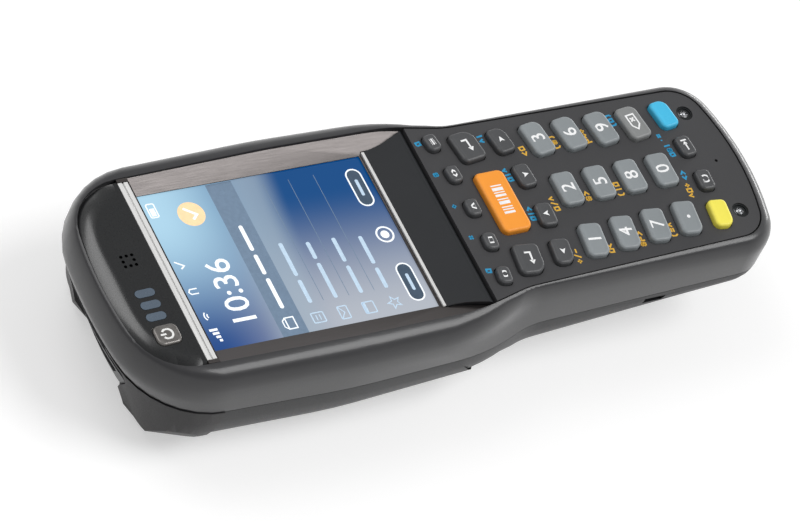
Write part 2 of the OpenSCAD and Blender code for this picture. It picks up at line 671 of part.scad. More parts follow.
// Each key: name, side, place on the plate, size, turn, radius of its outer tail corner, colour
function pair(names, at, size, turn, r, shade) = [for (i = [0, 1])
    [names[i], 2 * i - 1, at, size, turn, r, len(shade) == 2 ? shade[i] : shade]];
function digit_row(i, names) = concat(
    [[names[1], 0, [0, -digit_y - i * row_pitch], [digit_w, digit_h], 0, 1.7, mid]],
    pair([names[0], names[2]], [digit_x - i * digit_in, -digit_y + digit_lead - i * row_pitch],
        [digit_w, digit_h], key_turn, 2.4, mid));
KEYS = concat(
    pair(["key_f1", "key_f5"], [side_x - 6.1, -5], function_key, key_turn + 1, 1.2, dark),
    pair(["key_f2", "key_f4"], [10.9, -6.25], function_key, key_turn - 3, 1.2, dark),
    [["key_f3", 0, [0, -6.5], function_key, 0, 1.2, dark]],
    pair(["key_enter_left", "key_enter_right"], [side_x - 9.2, -14.05], enter_key, key_turn, 3.4, dark),
    [["key_scan", 0, [0, -15.55], [scan_w, scan_h], 0, 1.9, "#f58a22"]],
    pair(["key_up", "key_down"], [6.4, -25.35], arrow_in, key_turn - 3, 1.4, dark),
    pair(["key_left", "key_right"], [side_x - 9.4, -24.15], arrow_out, key_turn + 1, 2.8, dark),
    digit_row(0, ["key_1", "key_2", "key_3"]), digit_row(1, ["key_4", "key_5", "key_6"]),
    digit_row(2, ["key_7", "key_8", "key_9"]), digit_row(3, ["key_dot", "key_0", "key_backspace"]),
    pair(["key_yellow", "key_blue"], [side_x - 11, -73.95], colour_key, key_turn, 2.6,
        ["#ecd928", "#35b6dc"]),
    pair(["key_escape", "key_tab"], [5.65, -74.95], small_key, key_turn - 3, 1.5, dark));
flange_w = 0.6;
flange_t = 0.8;
flange_top = -plate_t - fit;
mat_top = flange_top - flange_t - key_travel - fit;
mat_t = 1.2;
keypad_board_t = 1.2;
board_top = mat_top - mat_t - touch;
keypad_end = keypad_screw_y + post_r + 0.25;   // tail edge of the mat and the board
keypad_start = -1.8;
posts = [[12, -19.9], [8.4, -40.2], [8.4, -59.7]];
plate_post_r = 1.2;
mic_y = -82;

function key_plan(k, grow = 0) =
    let (r = 1.5 + grow, out = k[5] + grow, left = k[1] == 0 ? out : r)
    pad(k[3].x + 2 * grow, k[3].y + 2 * grow, [left, out, r, r]);
module at_key(k) on_plate() mirror([k[1] < 0 ? 1 : 0, 0, 0]) translate(k[2]) rotate(k[4])
    children();
module key(k) color(k[6]) at_key(k) {
    edge = 0.45;
    under = flange_top - flange_t;
    prism(key_plan(k, flange_w), under, flange_top);
    prism(key_plan(k), under, key_rise - edge);
    layers([[key_plan(k), key_rise - edge], [key_plan(k, -edge), key_rise]]);
}

module keypad_plate() color("#46484a") {
    difference() {
        intersection() {
            prism(face_plan(face_gap), 0, 2 * glass_z);
            on_plate() bar(2 * head_w, [-body_len, body_len], [-plate_t, 0]);
            bar(2 * head_w, [-body_len, plate_y], [0, 2 * glass_z]);
        }
        for (k = KEYS) at_key(k) prism(key_plan(k, key_gap), -plate_t - cut, cut);
        on_plate() {
            both() translate([keypad_screw_x, keypad_screw_y, 0]) {
                translate([0, 0, -keypad_screw_sink - keypad_screw_t - fit])
                    cylinder(r = keypad_screw_r + keypad_recess, h = 2 * cut);
                translate([0, 0, -plate_t - cut]) cylinder(r = 1.1, h = plate_t + cut);
            }
            translate([0, mic_y, -plate_t - cut])
                cylinder(r = 0.45, h = plate_t + 2 * cut, $fn = 16);
        }
    }
    on_plate() both() for (p = posts) translate([p.x, p.y, board_top + touch])
        cylinder(r = plate_post_r, h = -plate_t - board_top);
}
// A sheet under the keypad: narrow enough for the grip, wider towards the display
module keypad_sheet(z0, t) on_plate() difference() {
    half = [for (p = [[5.2, keypad_end], [4, -30], [2.9, -9], [2.9, keypad_start]])
        [grip_w / 2 - p[0], p[1]]];
    prism(concat(half, [for (i = [3:-1:0]) [-half[i].x, half[i].y]]), z0, z0 + t);
    both() for (p = posts) translate([p.x, p.y, z0 - cut])
        cylinder(r = z0 < board_top ? 0.5 : plate_post_r + fit, h = t + 2 * cut);
}
module keypad_mat() color("#55585a") keypad_sheet(mat_top - mat_t, mat_t);
module keypad_board() color("#2f5d43") {
    keypad_sheet(board_top - keypad_board_t, keypad_board_t);
    on_plate() bar(16, [-72, -67], [board_top - keypad_board_t - 1.4, board_top - keypad_board_t]);
}
module microphone() color("#3c3d3f") on_plate() translate([0, mic_y, -plate_t - touch - 1.6])
    cylinder(r = 2, h = 1.6);
module keypad_screws() color("#8b8d90") both()
    translate([keypad_screw_x, plate_y + keypad_screw_y, 0]) {
    top = plate_z(plate_y + keypad_screw_y) - keypad_screw_sink;
    difference() {
        translate([0, 0, top - keypad_screw_t]) cylinder(r = keypad_screw_r, h = keypad_screw_t);
        cross_slot(keypad_screw_r, top);
    }
    translate([0, 0, top - screw_len]) cylinder(r = 0.85, h = screw_len - keypad_screw_t);
}
module cross_slot(r, z) for (a = [0, 90]) translate([0, 0, z]) rotate(a)
    cube([1.3 * r, 0.35 * r, 0.7], center = true);
module cover_screws() color("#8b8d90") both() for (i = [0, 1])
    translate([boss_x[i], boss_y[i], seat_z(i) - touch]) {
    difference() {
        translate([0, 0, -screw_head_t]) cylinder(r = screw_head_r, h = screw_head_t);
        cross_slot(screw_head_r, -screw_head_t);
    }
    cylinder(r = pilot_r - 0.1, h = min(screw_len, boss_top[i] - seat_z(i) - 1));
}

// ---- Inside ----
main_board_t = 1.2;
module main_board() color("#2f6b48") {
    z = bay_top + tub_t + touch;
    y0 = strap_y + strap_len + 4;
    y1 = boss_y[0] - boss_r - 1;
    step_y = boss_y[1] + boss_r + 6;
    x = [15.5, boss_x[0] - 1];
    prism([[-x[0], y0], [x[0], y0], [x[0], step_y], [x[1], step_y + 6], [x[1], y1], [-x[1], y1],
        [-x[1], step_y + 6], [-x[0], step_y]], z, z + main_board_t);
    // Shields, chips and sockets
    for (b = [[0, 12, 22, 24, 2.2], [-15, 38, 14, 12, 1.6], [14, 40, 12, 12, 1.4],
            [16, 10, 8, 14, 1.8], [0, -24, 14, 14, 1.6], [0, 55, 20, 5, 2.6]])
        translate([b[0] - b[2] / 2, b[1] - b[3] / 2, z + main_board_t]) cube([b[2], b[3], b[4]]);
}
module panel_board() color("#2f5d43") on_panel() {
    z = -board_drop - 1;
    prism([[-22, 2], [-1.4, 2], [-1.4, 10.6], [-19.6, 11.6], [-22, 8.6]], z, z + 1);
    // The switch under the power button
    translate([power_at.x - 1.8, power_at.y - 1.8, z + 1 - touch])
        cube([3.6, 3.6, board_drop - panel_t - 0.6 - power_travel - 2 * touch]);
}
module housing_seal() color("#26272a") difference() {
    jz = function (y) joint_z(y);
    rz = function (y) rim_z(y);
    // It follows the front cover's inside, w of the way up from the joint to the rim
    ring_at = function (in, w) ring(joint_plan(in), body_plan(in),
        0.8 * (w + cavity_low) / (0.3 + cavity_low), jz, rz, w);
    outer = wall + fit;
    inner = outer + seal_w;
    loft([ring_at(outer, 0.005), ring_at(outer, 0.13)]);
    loft([ring_at(inner, -cavity_low), ring_at(inner, 0.2)]);
}

// ---- Scan window ----
// The bezel's outline on the end face, narrower towards the back, grown by that much
function bezel_plan(grow = 0) =
    let (lean = (bezel_w[0] - bezel_w[1]) / 2 / (bezel_y[1] - bezel_y[0]),
        k = sqrt(1 + lean * lean), a = bezel_w[0] / 2 + grow * (k + lean),
        b = bezel_w[1] / 2 + grow * (k - lean), y0 = bezel_y[0] - grow, y1 = bezel_y[1] + grow,
        r = max(0.8, 2.5 + grow), p = [[a, y0], [b, y1], [-b, y1], [-a, y0]])
    [for (i = [0:3]) each bend(p[(i + 3) % 4], p[i], p[(i + 1) % 4], r, 5)];
module bezel_hole(grow) on_end() translate([0, 0, -8]) linear_extrude(16)
    polygon(bezel_plan(grow));
window_in = 0.6;         // how far the window lies inside the end face
window_t = 1.5;
window_lip = 1;          // how far it reaches behind the bezel's edge
// The bezel and the window follow the bow of the end face
module scan_bezel() color("#2b2c2f") difference() {
    intersection() {
        rear_form(-bezel_t, -seam);
        bezel_hole(0);
    }
    rear_form(wall + bezel_in, -seam);
    difference() {
        rear_form(-touch, -seam);
        bezel_hole(-bezel_edge - fit);
    }
    bezel_hole(-view_in);
    intersection() {
        rear_form(window_in, -seam);
        bezel_hole(window_lip - view_in);
    }
}
module scan_window() color("#5c1418") intersection() {
    difference() {
        rear_form(window_in + touch, -seam);
        rear_form(window_in + window_t, -seam);
    }
    bezel_hole(window_lip - fit - view_in);
}
module scan_engine() color("#37393c") {
    z = back_z_head + wall + touch;
    y1 = end_y(z) - 1.25 * wall - 1.6;
    bar(22, [y1 - 14, y1], [z, z + 10]);
    for (x = [-5, 5]) translate([x, y1, z + 5]) rotate([-90, 0, 0]) cylinder(r = 3, h = 1.2);
}
// A soft corner on each side, from the joint down to the back, that stands out beside the bezel
bumper_tip_in = 9.8;
bumper_r = 3;
bumper_t = 0.3;
bumper_back = 26;
bumper_rise = 1;         // of its lower edge over the rear cover's back
bumper_ramp = [9, 19];   // from the middle to where it starts to stand out and to its full depth
bumper_corner = [23.6, 9.6];   // its lower corner: from the middle and in from the tip
bumper_lean = 35;        // of the slanting face beside that corner, in degrees
module head_bumper() color("#1d1e20") both() difference() {
    z = back_z_head + bumper_rise;
    intersection() {
        rear_form(-bumper_t, -seam, bumper_tip_in, bumper_r);
        translate([bumper_ramp[0], tip_y - bumper_back, z])
            cube([head_w, bumper_back, joint_z_head - seam - 0.1 - z]);
        on_end() rotate([90, 0, 0]) linear_extrude(2 * head_w, center = true) polygon([
            [bumper_ramp[0] - cut, -head_w], [bumper_ramp[0] - cut, 0.1], [bumper_ramp[0], 0.3],
            [bumper_ramp[1], 2.9], [head_w, 6], [head_w, -head_w]]);
        translate([bumper_corner[0], tip_y - bumper_corner[1], z]) rotate([0, bumper_lean, 0])
            linear_extrude(2 * head_w, center = true) rotate(18)
                translate([-2 * head_w, -2 * head_w]) square([2 * head_w, 4 * head_w]);
    }
    rear_form(-touch, -seam);
    bezel_hole(3 * fit);
}

// ---- Battery and its cover ----
module battery_pack() color("#2e3033") difference() {
    w = bay_w - 6 * fit;
    y = [bay_y[0] + 3 * fit, bay_y[1] - 3 * fit];
    translate([0, (y[0] + y[1]) / 2, door_z + door_t + 0.2]) linear_extrude(battery_t)
        polygon(rounded(w, y[1] - y[0], 2.5, 6));
    for (i = [-1.5:1.5]) translate([i * 4, y[1], door_z + door_t + 0.2 + battery_t - 4])
        cube([2.2, 1.2, 2.5], center = true);
}
module battery_contacts() color("#c8a24a") for (i = [-1.5:1.5])
    translate([i * 4 - 0.8, bay_y[1] - 3 * fit + touch, door_z + door_t + battery_t - 5])
        cube([1.6, 3 * fit - touch, 3.2]);
module battery_cover() color("#3d3f42") difference() {
    union() {
        translate([0, hinge_y, 0]) bar(door_w, [0, door_len], [door_z, door_z + door_t]);
        translate([-door_w / 2, hinge_y, hinge_z]) rotate([0, 90, 0])
            cylinder(r = barrel_r, h = door_w);
    }
    translate([-door_w, hinge_y, hinge_z]) rotate([0, 90, 0])
        cylinder(r = pin_r + touch, h = 2 * door_w);
    // Pocket, rails and tongue slot of the latch
    w = latch_body.x;
    y = [latch_y - slide_gap, door_y1 - end_wall];
    bar(w + 2 * slide_gap, y, [-cut, latch_z + slide_gap]);
    bar(w + 2 * latch_rail + 2 * slide_gap, y, [latch_z - latch_t - slide_gap, latch_z + slide_gap]);
    bar(tongue_w + 2 * slide_gap, [latch_y, door_y1 + cut],
        [latch_z - latch_t - slide_gap, latch_z + slide_gap]);
    // Finger grooves at the hinge end
    for (i = [0:5]) translate([0, hinge_y + 7 + 2.4 * i, door_z]) bar(16, [0, 0.9], [-cut, 0.4]);
}
module battery_latch() color("#26272a") difference() {
    union() {
        bar(latch_body.x, [latch_y, latch_y + latch_body.y], [door_z + touch, latch_z]);
        bar(latch_body.x + 2 * latch_rail, [latch_y, latch_y + latch_body.y],
            [latch_z - latch_t, latch_z]);
        bar(tongue_w, [latch_y, door_y1 - 0.2], [latch_z - latch_t, latch_z]);
    }
    for (i = [0:3])
        bar(latch_body.x - 2, [latch_y + 0.6 + i, latch_y + 1 + i], [-cut, door_z + 0.4]);
}
module hinge_pin() color("#b4b6b8") translate([-door_w / 2 - 2.2, hinge_y, hinge_z])
    rotate([0, 90, 0]) cylinder(r = pin_r, h = door_w + 4.4);
module dock_connector() color("#2a2b2d") on_back(dock_y) {
    bar(dock_w - 2 * fit, [-dock_h / 2 + fit, dock_h / 2 - fit], [0.3, wall + 0.6]);
    bar(dock_w + 3, [-dock_h / 2 - 1.2, dock_h / 2 + 1.2], [wall + touch + 0.1, wall + 1.4]);
}

front_cover();
rear_cover();
screen_frame();
top_panel();
screen_trims();
chin_panel();
touch_panel();
display_module();
display_gasket();
display_tray();
keypad_plate();
keypad_mat();
keypad_board();
main_board();
panel_board();
power_button();
hinge_pin();
status_lights();
speaker();
microphone();
keypad_screws();
cover_screws();
scan_bezel();
scan_window();
scan_engine();
head_bumper();
battery_pack();
battery_cover();
battery_latch();
battery_contacts();
dock_connector();
housing_seal();
for (k = KEYS) key(k);
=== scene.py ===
"""The looks of the portable data terminal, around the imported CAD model. Sizes and points are
written in millimetres, and piece() turns them into Blender's metres."""
import json
import math
from collections import namedtuple

import bpy
import numpy as np
from mathutils import Matrix, Vector


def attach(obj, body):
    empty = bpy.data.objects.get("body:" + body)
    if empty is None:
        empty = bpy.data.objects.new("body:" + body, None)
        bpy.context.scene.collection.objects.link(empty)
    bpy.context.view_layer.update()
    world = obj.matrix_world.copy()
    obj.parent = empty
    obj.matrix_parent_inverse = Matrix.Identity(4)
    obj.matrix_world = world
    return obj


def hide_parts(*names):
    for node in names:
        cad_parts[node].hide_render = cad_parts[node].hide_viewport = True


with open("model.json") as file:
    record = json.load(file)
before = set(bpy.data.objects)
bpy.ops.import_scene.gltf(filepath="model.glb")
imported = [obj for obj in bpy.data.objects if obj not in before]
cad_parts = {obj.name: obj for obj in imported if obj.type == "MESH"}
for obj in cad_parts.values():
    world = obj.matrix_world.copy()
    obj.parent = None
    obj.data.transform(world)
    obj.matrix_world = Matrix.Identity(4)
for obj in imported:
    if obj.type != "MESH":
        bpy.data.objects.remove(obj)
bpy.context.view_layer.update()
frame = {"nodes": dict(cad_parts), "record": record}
nodes = frame["nodes"]
MM = 0.001
scene = bpy.context.scene

# ---- Sizes that part.scad gives (mm, degrees) ----
GLASS_Z = 32.6  # face of the display's glass
GLASS_W, GLASS_Y = 54.8, (6.6, 76.6)
SCREEN_W, SCREEN_Y0, SCREEN_Y1 = 48.5, 9.4, 74.4  # what the frame leaves of it
# The keypad plate falls towards the tail from its head edge.
PLATE_Y, PLATE_Z, TILT = -4.75, GLASS_Z + 3.75, 0.86
PLATE_T, FIT, FLANGE_T, KEY_RISE = 1.6, 0.1, 0.8, 1.5
FLANGE_OUT = 0.6  # of a key's flange, past its cap
TURN = 7.0  # of the outer keys, in the plate
SCREW_X, SCREW_Y, SCREW_R, SCREW_SINK = 16.3, -80.75, 1.7, 0.5
# The glossy panel falls towards the head from its tail edge.
PANEL_Y, PANEL_Z, PANEL_TILT = 78.75, GLASS_Z + 2.75, 3.6
POWER_AT, POWER_SIZE, POWER_R, POWER_RISE = (-18.1, 6.7), (5.8, 6.6), 1.7, 0.65
POWER_FIT, POWER_FLANGE = 0.05, 0.6
# Its outline is |x / EDGE_A| ^ EDGE_POWER + |(y - EDGE_Y) / EDGE_B| ^ EDGE_POWER = 1.
EDGE_Y, EDGE_A, EDGE_B, EDGE_POWER = 75.0, 28.52, 20.25, 3.0

# ---- Sizes of the looks alone (mm) ----
# The shaded roll of the panel's edge: its width, its fall, how far past EDGE_Y it begins, and
# the length over which it comes in.
EDGE_W, EDGE_DROP, EDGE_FROM, EDGE_RUN = 5.2, 1.7, 5.0, 6.0
LEVEL_Z = 0.3  # normals over this are the panel's face and rounded edge
CORNER_R, LEAST_R = 1.5, 0.12  # of a key's inner corners, and of any corner as it narrows
DRAFT, SIDE_END, SHOULDER_R = 0.02, 0.05, 0.75  # of a key's sides
DISH = ((0.5, 0.05), (0.9, 0.07))  # of its top: inset past the shoulder, depth
LEGEND_W, LEGEND_Z = 0.44, (-0.05, 0.015)
SIGN_Z = (-0.03, 0.012)  # of the print on the plate, from its face
LAYERS = ((-0.02, 0.010), (-0.02, 0.016), (-0.02, 0.022))  # of the print on the glass

# ---- Noise, grain and shading ----
NOISE_LOW, NOISE_HIGH = 0.3, 0.7  # most of a noise lies between these
BROAD_SCALE = 60
GRAIN_M, BRUSH_M = 0.00004, 0.00003
PLASTIC_ROUGH, METAL_ROUGH, INK_ROUGH = (-0.05, 0.07), (-0.06, 0.08), (-0.05, 0.05)
METAL_VARY, INK_VARY = 0.1, 0.06
CAD_ANGLE, CAP_ANGLE = 32, 40  # edges over these stay sharp
SAME_POINT = 1e6  # vertices that agree to this part of a metre are shaded as one
TINY = 1e-12


# ---- Materials ----
def rgb(hexa):
    """Linear colour of an sRGB hex string."""
    out = []
    for i in (0, 2, 4):
        c = int(hexa[i:i + 2], 16) / 255
        out.append(c / 12.92 if c <= 0.04045 else ((c + 0.055) / 1.055) ** 2.4)
    return (*out, 1.0)


def new_material(name):
    m = bpy.data.materials.new(name)
    m.use_nodes = True
    nt = m.node_tree
    bsdf = nt.nodes["Principled BSDF"]
    return m, nt, bsdf


def noise(nt, scale, detail=2.0, rough=0.5, stretch=None):
    tc = nt.nodes.new("ShaderNodeTexCoord")
    out = tc.outputs["Object"]
    if stretch:
        mp = nt.nodes.new("ShaderNodeMapping")
        mp.inputs["Scale"].default_value = stretch
        nt.links.new(out, mp.inputs["Vector"])
        out = mp.outputs["Vector"]
    n = nt.nodes.new("ShaderNodeTexNoise")
    n.inputs["Scale"].default_value = scale
    n.inputs["Detail"].default_value = detail
    n.inputs["Roughness"].default_value = rough
    nt.links.new(out, n.inputs["Vector"])
    return n.outputs["Fac"]


def ramp(nt, fac, stops):
    r = nt.nodes.new("ShaderNodeValToRGB")
    e = r.color_ramp.elements
    e[0].position, e[0].color = stops[0]
    e[1].position, e[1].color = stops[-1]
    for p, c in stops[1:-1]:
        x = e.new(p)
        x.color = c
    nt.links.new(fac, r.inputs["Fac"])
    return r.outputs["Color"]


def spread(color, by):
    """The colour made darker and lighter by a share."""
    return (tuple(min(1, c * (1 - by)) for c in color[:3]) + (1.0,),
            tuple(min(1, c * (1 + by)) for c in color[:3]) + (1.0,))


def tones(nt, fac, low, high):
    """Two colours over the spread of a noise."""
    return ramp(nt, fac, [(NOISE_LOW, low), (NOISE_HIGH, high)])


def value_range(nt, fac, low, high):
    """Two values over the spread of a noise."""
    m = nt.nodes.new("ShaderNodeMapRange")
    m.inputs["To Min"].default_value = low
    m.inputs["To Max"].default_value = high
    m.inputs["From Min"].default_value = NOISE_LOW
    m.inputs["From Max"].default_value = NOISE_HIGH
    nt.links.new(fac, m.inputs["Value"])
    return m.outputs["Result"]


def bump(nt, bsdf, fac, strength, distance):
    b = nt.nodes.new("ShaderNodeBump")
    b.inputs["Strength"].default_value = strength
    b.inputs["Distance"].default_value = distance
    nt.links.new(fac, b.inputs["Height"])
    nt.links.new(b.outputs["Normal"], bsdf.inputs["Normal"])


def plastic(name, color, rough=0.45, vary=0.08, grain=4200, depth=0.25, specular=0.5, coat=0.0,
            coat_rough=0.08):
    """Moulded plastic: fine grain in the surface, broad faint variation in colour and gloss."""
    m, nt, bsdf = new_material(name)
    broad = noise(nt, BROAD_SCALE, 3)
    nt.links.new(tones(nt, broad, *spread(color, vary)), bsdf.inputs["Base Color"])
    fine = noise(nt, grain, 2)
    low, high = PLASTIC_ROUGH
    nt.links.new(value_range(nt, fine, rough + low, rough + high), bsdf.inputs["Roughness"])
    bump(nt, bsdf, fine, depth, GRAIN_M)
    bsdf.inputs["Specular IOR Level"].default_value = specular
    bsdf.inputs["Coat Weight"].default_value = coat
    bsdf.inputs["Coat Roughness"].default_value = coat_rough
    return m


def metal(name, color, rough=0.3, brushed=(1, 60, 1), scale=200, depth=0.15, share=1.0):
    """Brushed metal, or paint that looks like it where share is under 1."""
    m, nt, bsdf = new_material(name)
    lines = noise(nt, scale, 3, 0.6, brushed)
    nt.links.new(tones(nt, lines, *spread(color, METAL_VARY)), bsdf.inputs["Base Color"])
    low, high = METAL_ROUGH
    nt.links.new(value_range(nt, lines, rough + low, rough + high), bsdf.inputs["Roughness"])
    bump(nt, bsdf, lines, depth, BRUSH_M)
    bsdf.inputs["Metallic"].default_value = share
    return m


def print_ink(name, color, rough=0.5, glow=0.0):
    """Slightly uneven ink, or a lit part of the display where it glows."""
    m, nt, bsdf = new_material(name)
    n = noise(nt, 900, 2)
    nt.links.new(tones(nt, n, *spread(color, INK_VARY)), bsdf.inputs["Base Color"])
    low, high = INK_ROUGH
    nt.links.new(value_range(nt, n, rough + low, rough + high), bsdf.inputs["Roughness"])
    if glow:
        bsdf.inputs["Emission Color"].default_value = color
        bsdf.inputs["Emission Strength"].default_value = glow
    return m


M = {
    "housing": plastic("housing", rgb("39393b"), 0.34, 0.05, 4200, 0.2, 0.35, 0.35, 0.15),
    # the rear cover's base is darker than the housing's, as painted shade of its lower,
    # downward-facing sides
    "housing_rear": plastic("housing_rear", rgb("2b2b2d"), 0.42, 0.05, 4200, 0.2, 0.3),
    "frame_plastic": metal("frame_plastic", rgb("64605f"), 0.4, (40, 1, 1), 160, 0.1),
    "gloss_black": plastic("gloss_black", rgb("1a1d1f"), 0.26, 0.03, 3000, 0.03, 0.5, 0.4),
    "trim_silver": metal("trim_silver", rgb("dededd"), 0.3, (1, 30, 30), 120, 0.02, 0.0),
    "dark_plastic": plastic("dark_plastic", rgb("25272a"), 0.38, 0.05),
    "lcd": metal("lcd", rgb("a7abae"), 0.4, (1, 1, 1), 300),
    "black_rubber": plastic("black_rubber", rgb("2b2a2b"), 0.6, 0.06, 2600, 0.4, 0.35),
    "bumper": plastic("bumper", rgb("3b3a3b"), 0.5, 0.06, 2600, 0.4, 0.4),
    "pressed_steel": metal("pressed_steel", rgb("9b9c9f"), 0.35),
    "keypad_face": plastic("keypad_face", rgb("3d3d3f"), 0.52, 0.05, 4200, 0.3),
    "grey_rubber": plastic("grey_rubber", rgb("5a5c5e"), 0.65, 0.06, 2600, 0.3, 0.3),
    "circuit_board": plastic("circuit_board", rgb("215236"), 0.35, 0.12, 900, 0.2, 0.5, 0.3),
    "button_silver": metal("button_silver", rgb("7f7c79"), 0.34, (1, 1, 1), 700, 0.05, 0.6),
    "pin_steel": metal("pin_steel", rgb("c4c5c7"), 0.2, (60, 1, 1), 200, 0.05),
    "light_guide": plastic("light_guide", rgb("596674"), 0.24, 0.08, 1500, 0.04, 0.5, 0.5),
    "screw_steel": metal("screw_steel", rgb("c3c4c6"), 0.28, (1, 1, 1), 500, 0.1),
    "battery_shell": plastic("battery_shell", rgb("2c2d30"), 0.5, 0.05),
    "contact_gold": metal("contact_gold", rgb("d8b15c"), 0.25),
    "key_dark": plastic("key_dark", rgb("4e4f51"), 0.4, 0.04, 3600, 0.2),
    "key_grey": plastic("key_grey", rgb("8d9396"), 0.42, 0.04, 3600, 0.2),
    "key_warm_grey": plastic("key_warm_grey", rgb("8a8c8c"), 0.42, 0.04, 3600, 0.2),
    "key_orange": plastic("key_orange", rgb("ffa038"), 0.42, 0.03, 3600, 0.15, 0.35),
    "key_yellow_plastic": plastic("key_yellow_plastic", rgb("fbee5e"), 0.42, 0.03, 3600, 0.15,
                                  0.35),
    "key_blue_plastic": plastic("key_blue_plastic", rgb("48c2ec"), 0.42, 0.03, 3600, 0.15, 0.35),
}


def rolled_edge(material):
    """Lets the shading of the top panel's face fall away before its rounded end."""
    nt = material.node_tree

    def calc(op, a, b=None):
        n = nt.nodes.new("ShaderNodeMath")
        n.operation = op
        for i, x in enumerate((a, b)):
            if isinstance(x, (int, float)):
                n.inputs[i].default_value = x
            elif x is not None:
                nt.links.new(x, n.inputs[i])
        return n.outputs[0]

    tc = nt.nodes.new("ShaderNodeTexCoord")
    xyz = nt.nodes.new("ShaderNodeSeparateXYZ")
    nt.links.new(tc.outputs["Object"], xyz.inputs["Vector"])
    x = calc("ABSOLUTE", calc("DIVIDE", xyz.outputs["X"], MM))
    y = calc("SUBTRACT", calc("DIVIDE", xyz.outputs["Y"], MM), EDGE_Y)
    y = calc("MAXIMUM", y, 0.0)
    # the point's share of the way out to the outline, and its distance from there
    cubes = calc("ADD", calc("POWER", calc("DIVIDE", x, EDGE_A), EDGE_POWER),
                 calc("POWER", calc("DIVIDE", y, EDGE_B), EDGE_POWER))
    share = calc("POWER", cubes, 1 / EDGE_POWER)
    radius = calc("SQRT", calc("ADD", calc("MULTIPLY", x, x), calc("MULTIPLY", y, y)))
    inward = calc("MULTIPLY", radius, calc("SUBTRACT", calc("DIVIDE", 1.0, share), 1.0))
    near = calc("MAXIMUM", calc("SUBTRACT", 1.0, calc("DIVIDE", inward, EDGE_W)), 0.0)
    past = calc("MAXIMUM", calc("SUBTRACT", y, EDGE_FROM), 0.0)
    end = calc("MINIMUM", calc("DIVIDE", past, EDGE_RUN), 1.0)
    fall = calc("MULTIPLY", calc("MULTIPLY", calc("POWER", near, 2.0), end), -EDGE_DROP)
    relief = nt.nodes.new("ShaderNodeBump")
    relief.inputs["Strength"].default_value = 1.0
    relief.inputs["Distance"].default_value = MM
    nt.links.new(fall, relief.inputs["Height"])
    # over the face and its rounded edge the fall is measured from the face's own plane
    shape = nt.nodes.new("ShaderNodeNewGeometry")
    face = nt.nodes.new("ShaderNodeSeparateXYZ")
    nt.links.new(shape.outputs["Normal"], face.inputs["Vector"])
    level = nt.nodes.new("ShaderNodeMix")
    level.data_type = "VECTOR"
    nt.links.new(calc("GREATER_THAN", face.outputs["Z"], LEVEL_Z), level.inputs["Factor"])
    nt.links.new(shape.outputs["Normal"], level.inputs[4])
    level.inputs[5].default_value = (0, math.sin(math.radians(PANEL_TILT)), 1)
    nt.links.new(level.outputs[1], relief.inputs["Normal"])
    bsdf = nt.nodes["Principled BSDF"]
    grain = bsdf.inputs["Normal"].links[0].from_node
    nt.links.new(relief.outputs["Normal"], grain.inputs["Normal"])
    nt.links.new(relief.outputs["Normal"], bsdf.inputs["Coat Normal"])
    return material


M["panel"] = rolled_edge(plastic("panel", rgb("121416"), 0.32, 0.03, 3000, 0.01, 0.5, 1.0, 0.2))


def scan_glass():
    """Dark red filter glass before the scanner."""
    m, nt, bsdf = new_material("scan_glass")
    n = noise(nt, 120, 2)
    nt.links.new(tones(nt, n, *spread(rgb("3a0a0e"), 0.2)), bsdf.inputs["Base Color"])
    nt.links.new(value_range(nt, n, 0.04, 0.08), bsdf.inputs["Roughness"])
    bsdf.inputs["Coat Weight"].default_value = 1.0
    bsdf.inputs["Coat Roughness"].default_value = 0.03
    return m


M["scan_glass"] = scan_glass()
INK = {
    "white": print_ink("ink_white", rgb("f8f9fa")),
    "yellow": print_ink("ink_yellow", rgb("e4b23c")),
    "blue": print_ink("ink_blue", rgb("2396c6")),
    "ring": print_ink("ink_ring", rgb("f2f2f0")),
}


# ---- Mesh helpers ----
def soften(o, angle):
    """Smooth shading with sharp edges over the angle, also across the CAD faces' own borders."""
    me = o.data
    n_poly = len(me.polygons)
    if not n_poly:
        return
    co = np.zeros(len(me.vertices) * 3)
    me.vertices.foreach_get("co", co)
    co = co.reshape(-1, 3)
    key = np.round(co * SAME_POINT).astype(np.int64)
    _, group = np.unique(key, axis=0, return_inverse=True)
    group = group.ravel()
    pn = np.zeros(n_poly * 3)
    me.polygons.foreach_get("normal", pn)
    pn = pn.reshape(-1, 3)
    area = np.zeros(n_poly)
    me.polygons.foreach_get("area", area)
    start = np.zeros(n_poly, int)
    total = np.zeros(n_poly, int)
    me.polygons.foreach_get("loop_start", start)
    me.polygons.foreach_get("loop_total", total)
    lv = np.zeros(len(me.loops), int)
    me.loops.foreach_get("vertex_index", lv)
    order = np.argsort(start, kind="stable")
    poly_of = np.repeat(order, total[order])
    # a corner's weight is its angle times the root of its face's area
    prev = np.arange(len(lv)) - 1
    nxt = np.arange(len(lv)) + 1
    prev[start] = start + total - 1
    nxt[start + total - 1] = start
    a = co[lv[prev]] - co[lv]
    b = co[lv[nxt]] - co[lv]
    a /= np.maximum(np.linalg.norm(a, axis=1), TINY)[:, None]
    b /= np.maximum(np.linalg.norm(b, axis=1), TINY)[:, None]
    weight = np.arccos(np.clip((a * b).sum(1), -1, 1)) * area[poly_of] ** 0.5
    lg = group[lv]
    out = np.zeros((len(lv), 3))
    rank = np.argsort(lg, kind="stable")
    cuts = np.flatnonzero(np.diff(lg[rank])) + 1
    limit = math.cos(math.radians(angle))
    for part in np.split(rank, cuts):
        n = pn[poly_of[part]]
        near = (n @ n.T) > limit
        out[part] = (near * weight[part][None, :]) @ n
    size = np.linalg.norm(out, axis=1)
    bad = size < TINY
    out[bad] = pn[poly_of[bad]]
    size[bad] = 1
    out /= size[:, None]
    me.shade_smooth()
    me.normals_split_custom_set(out.tolist())


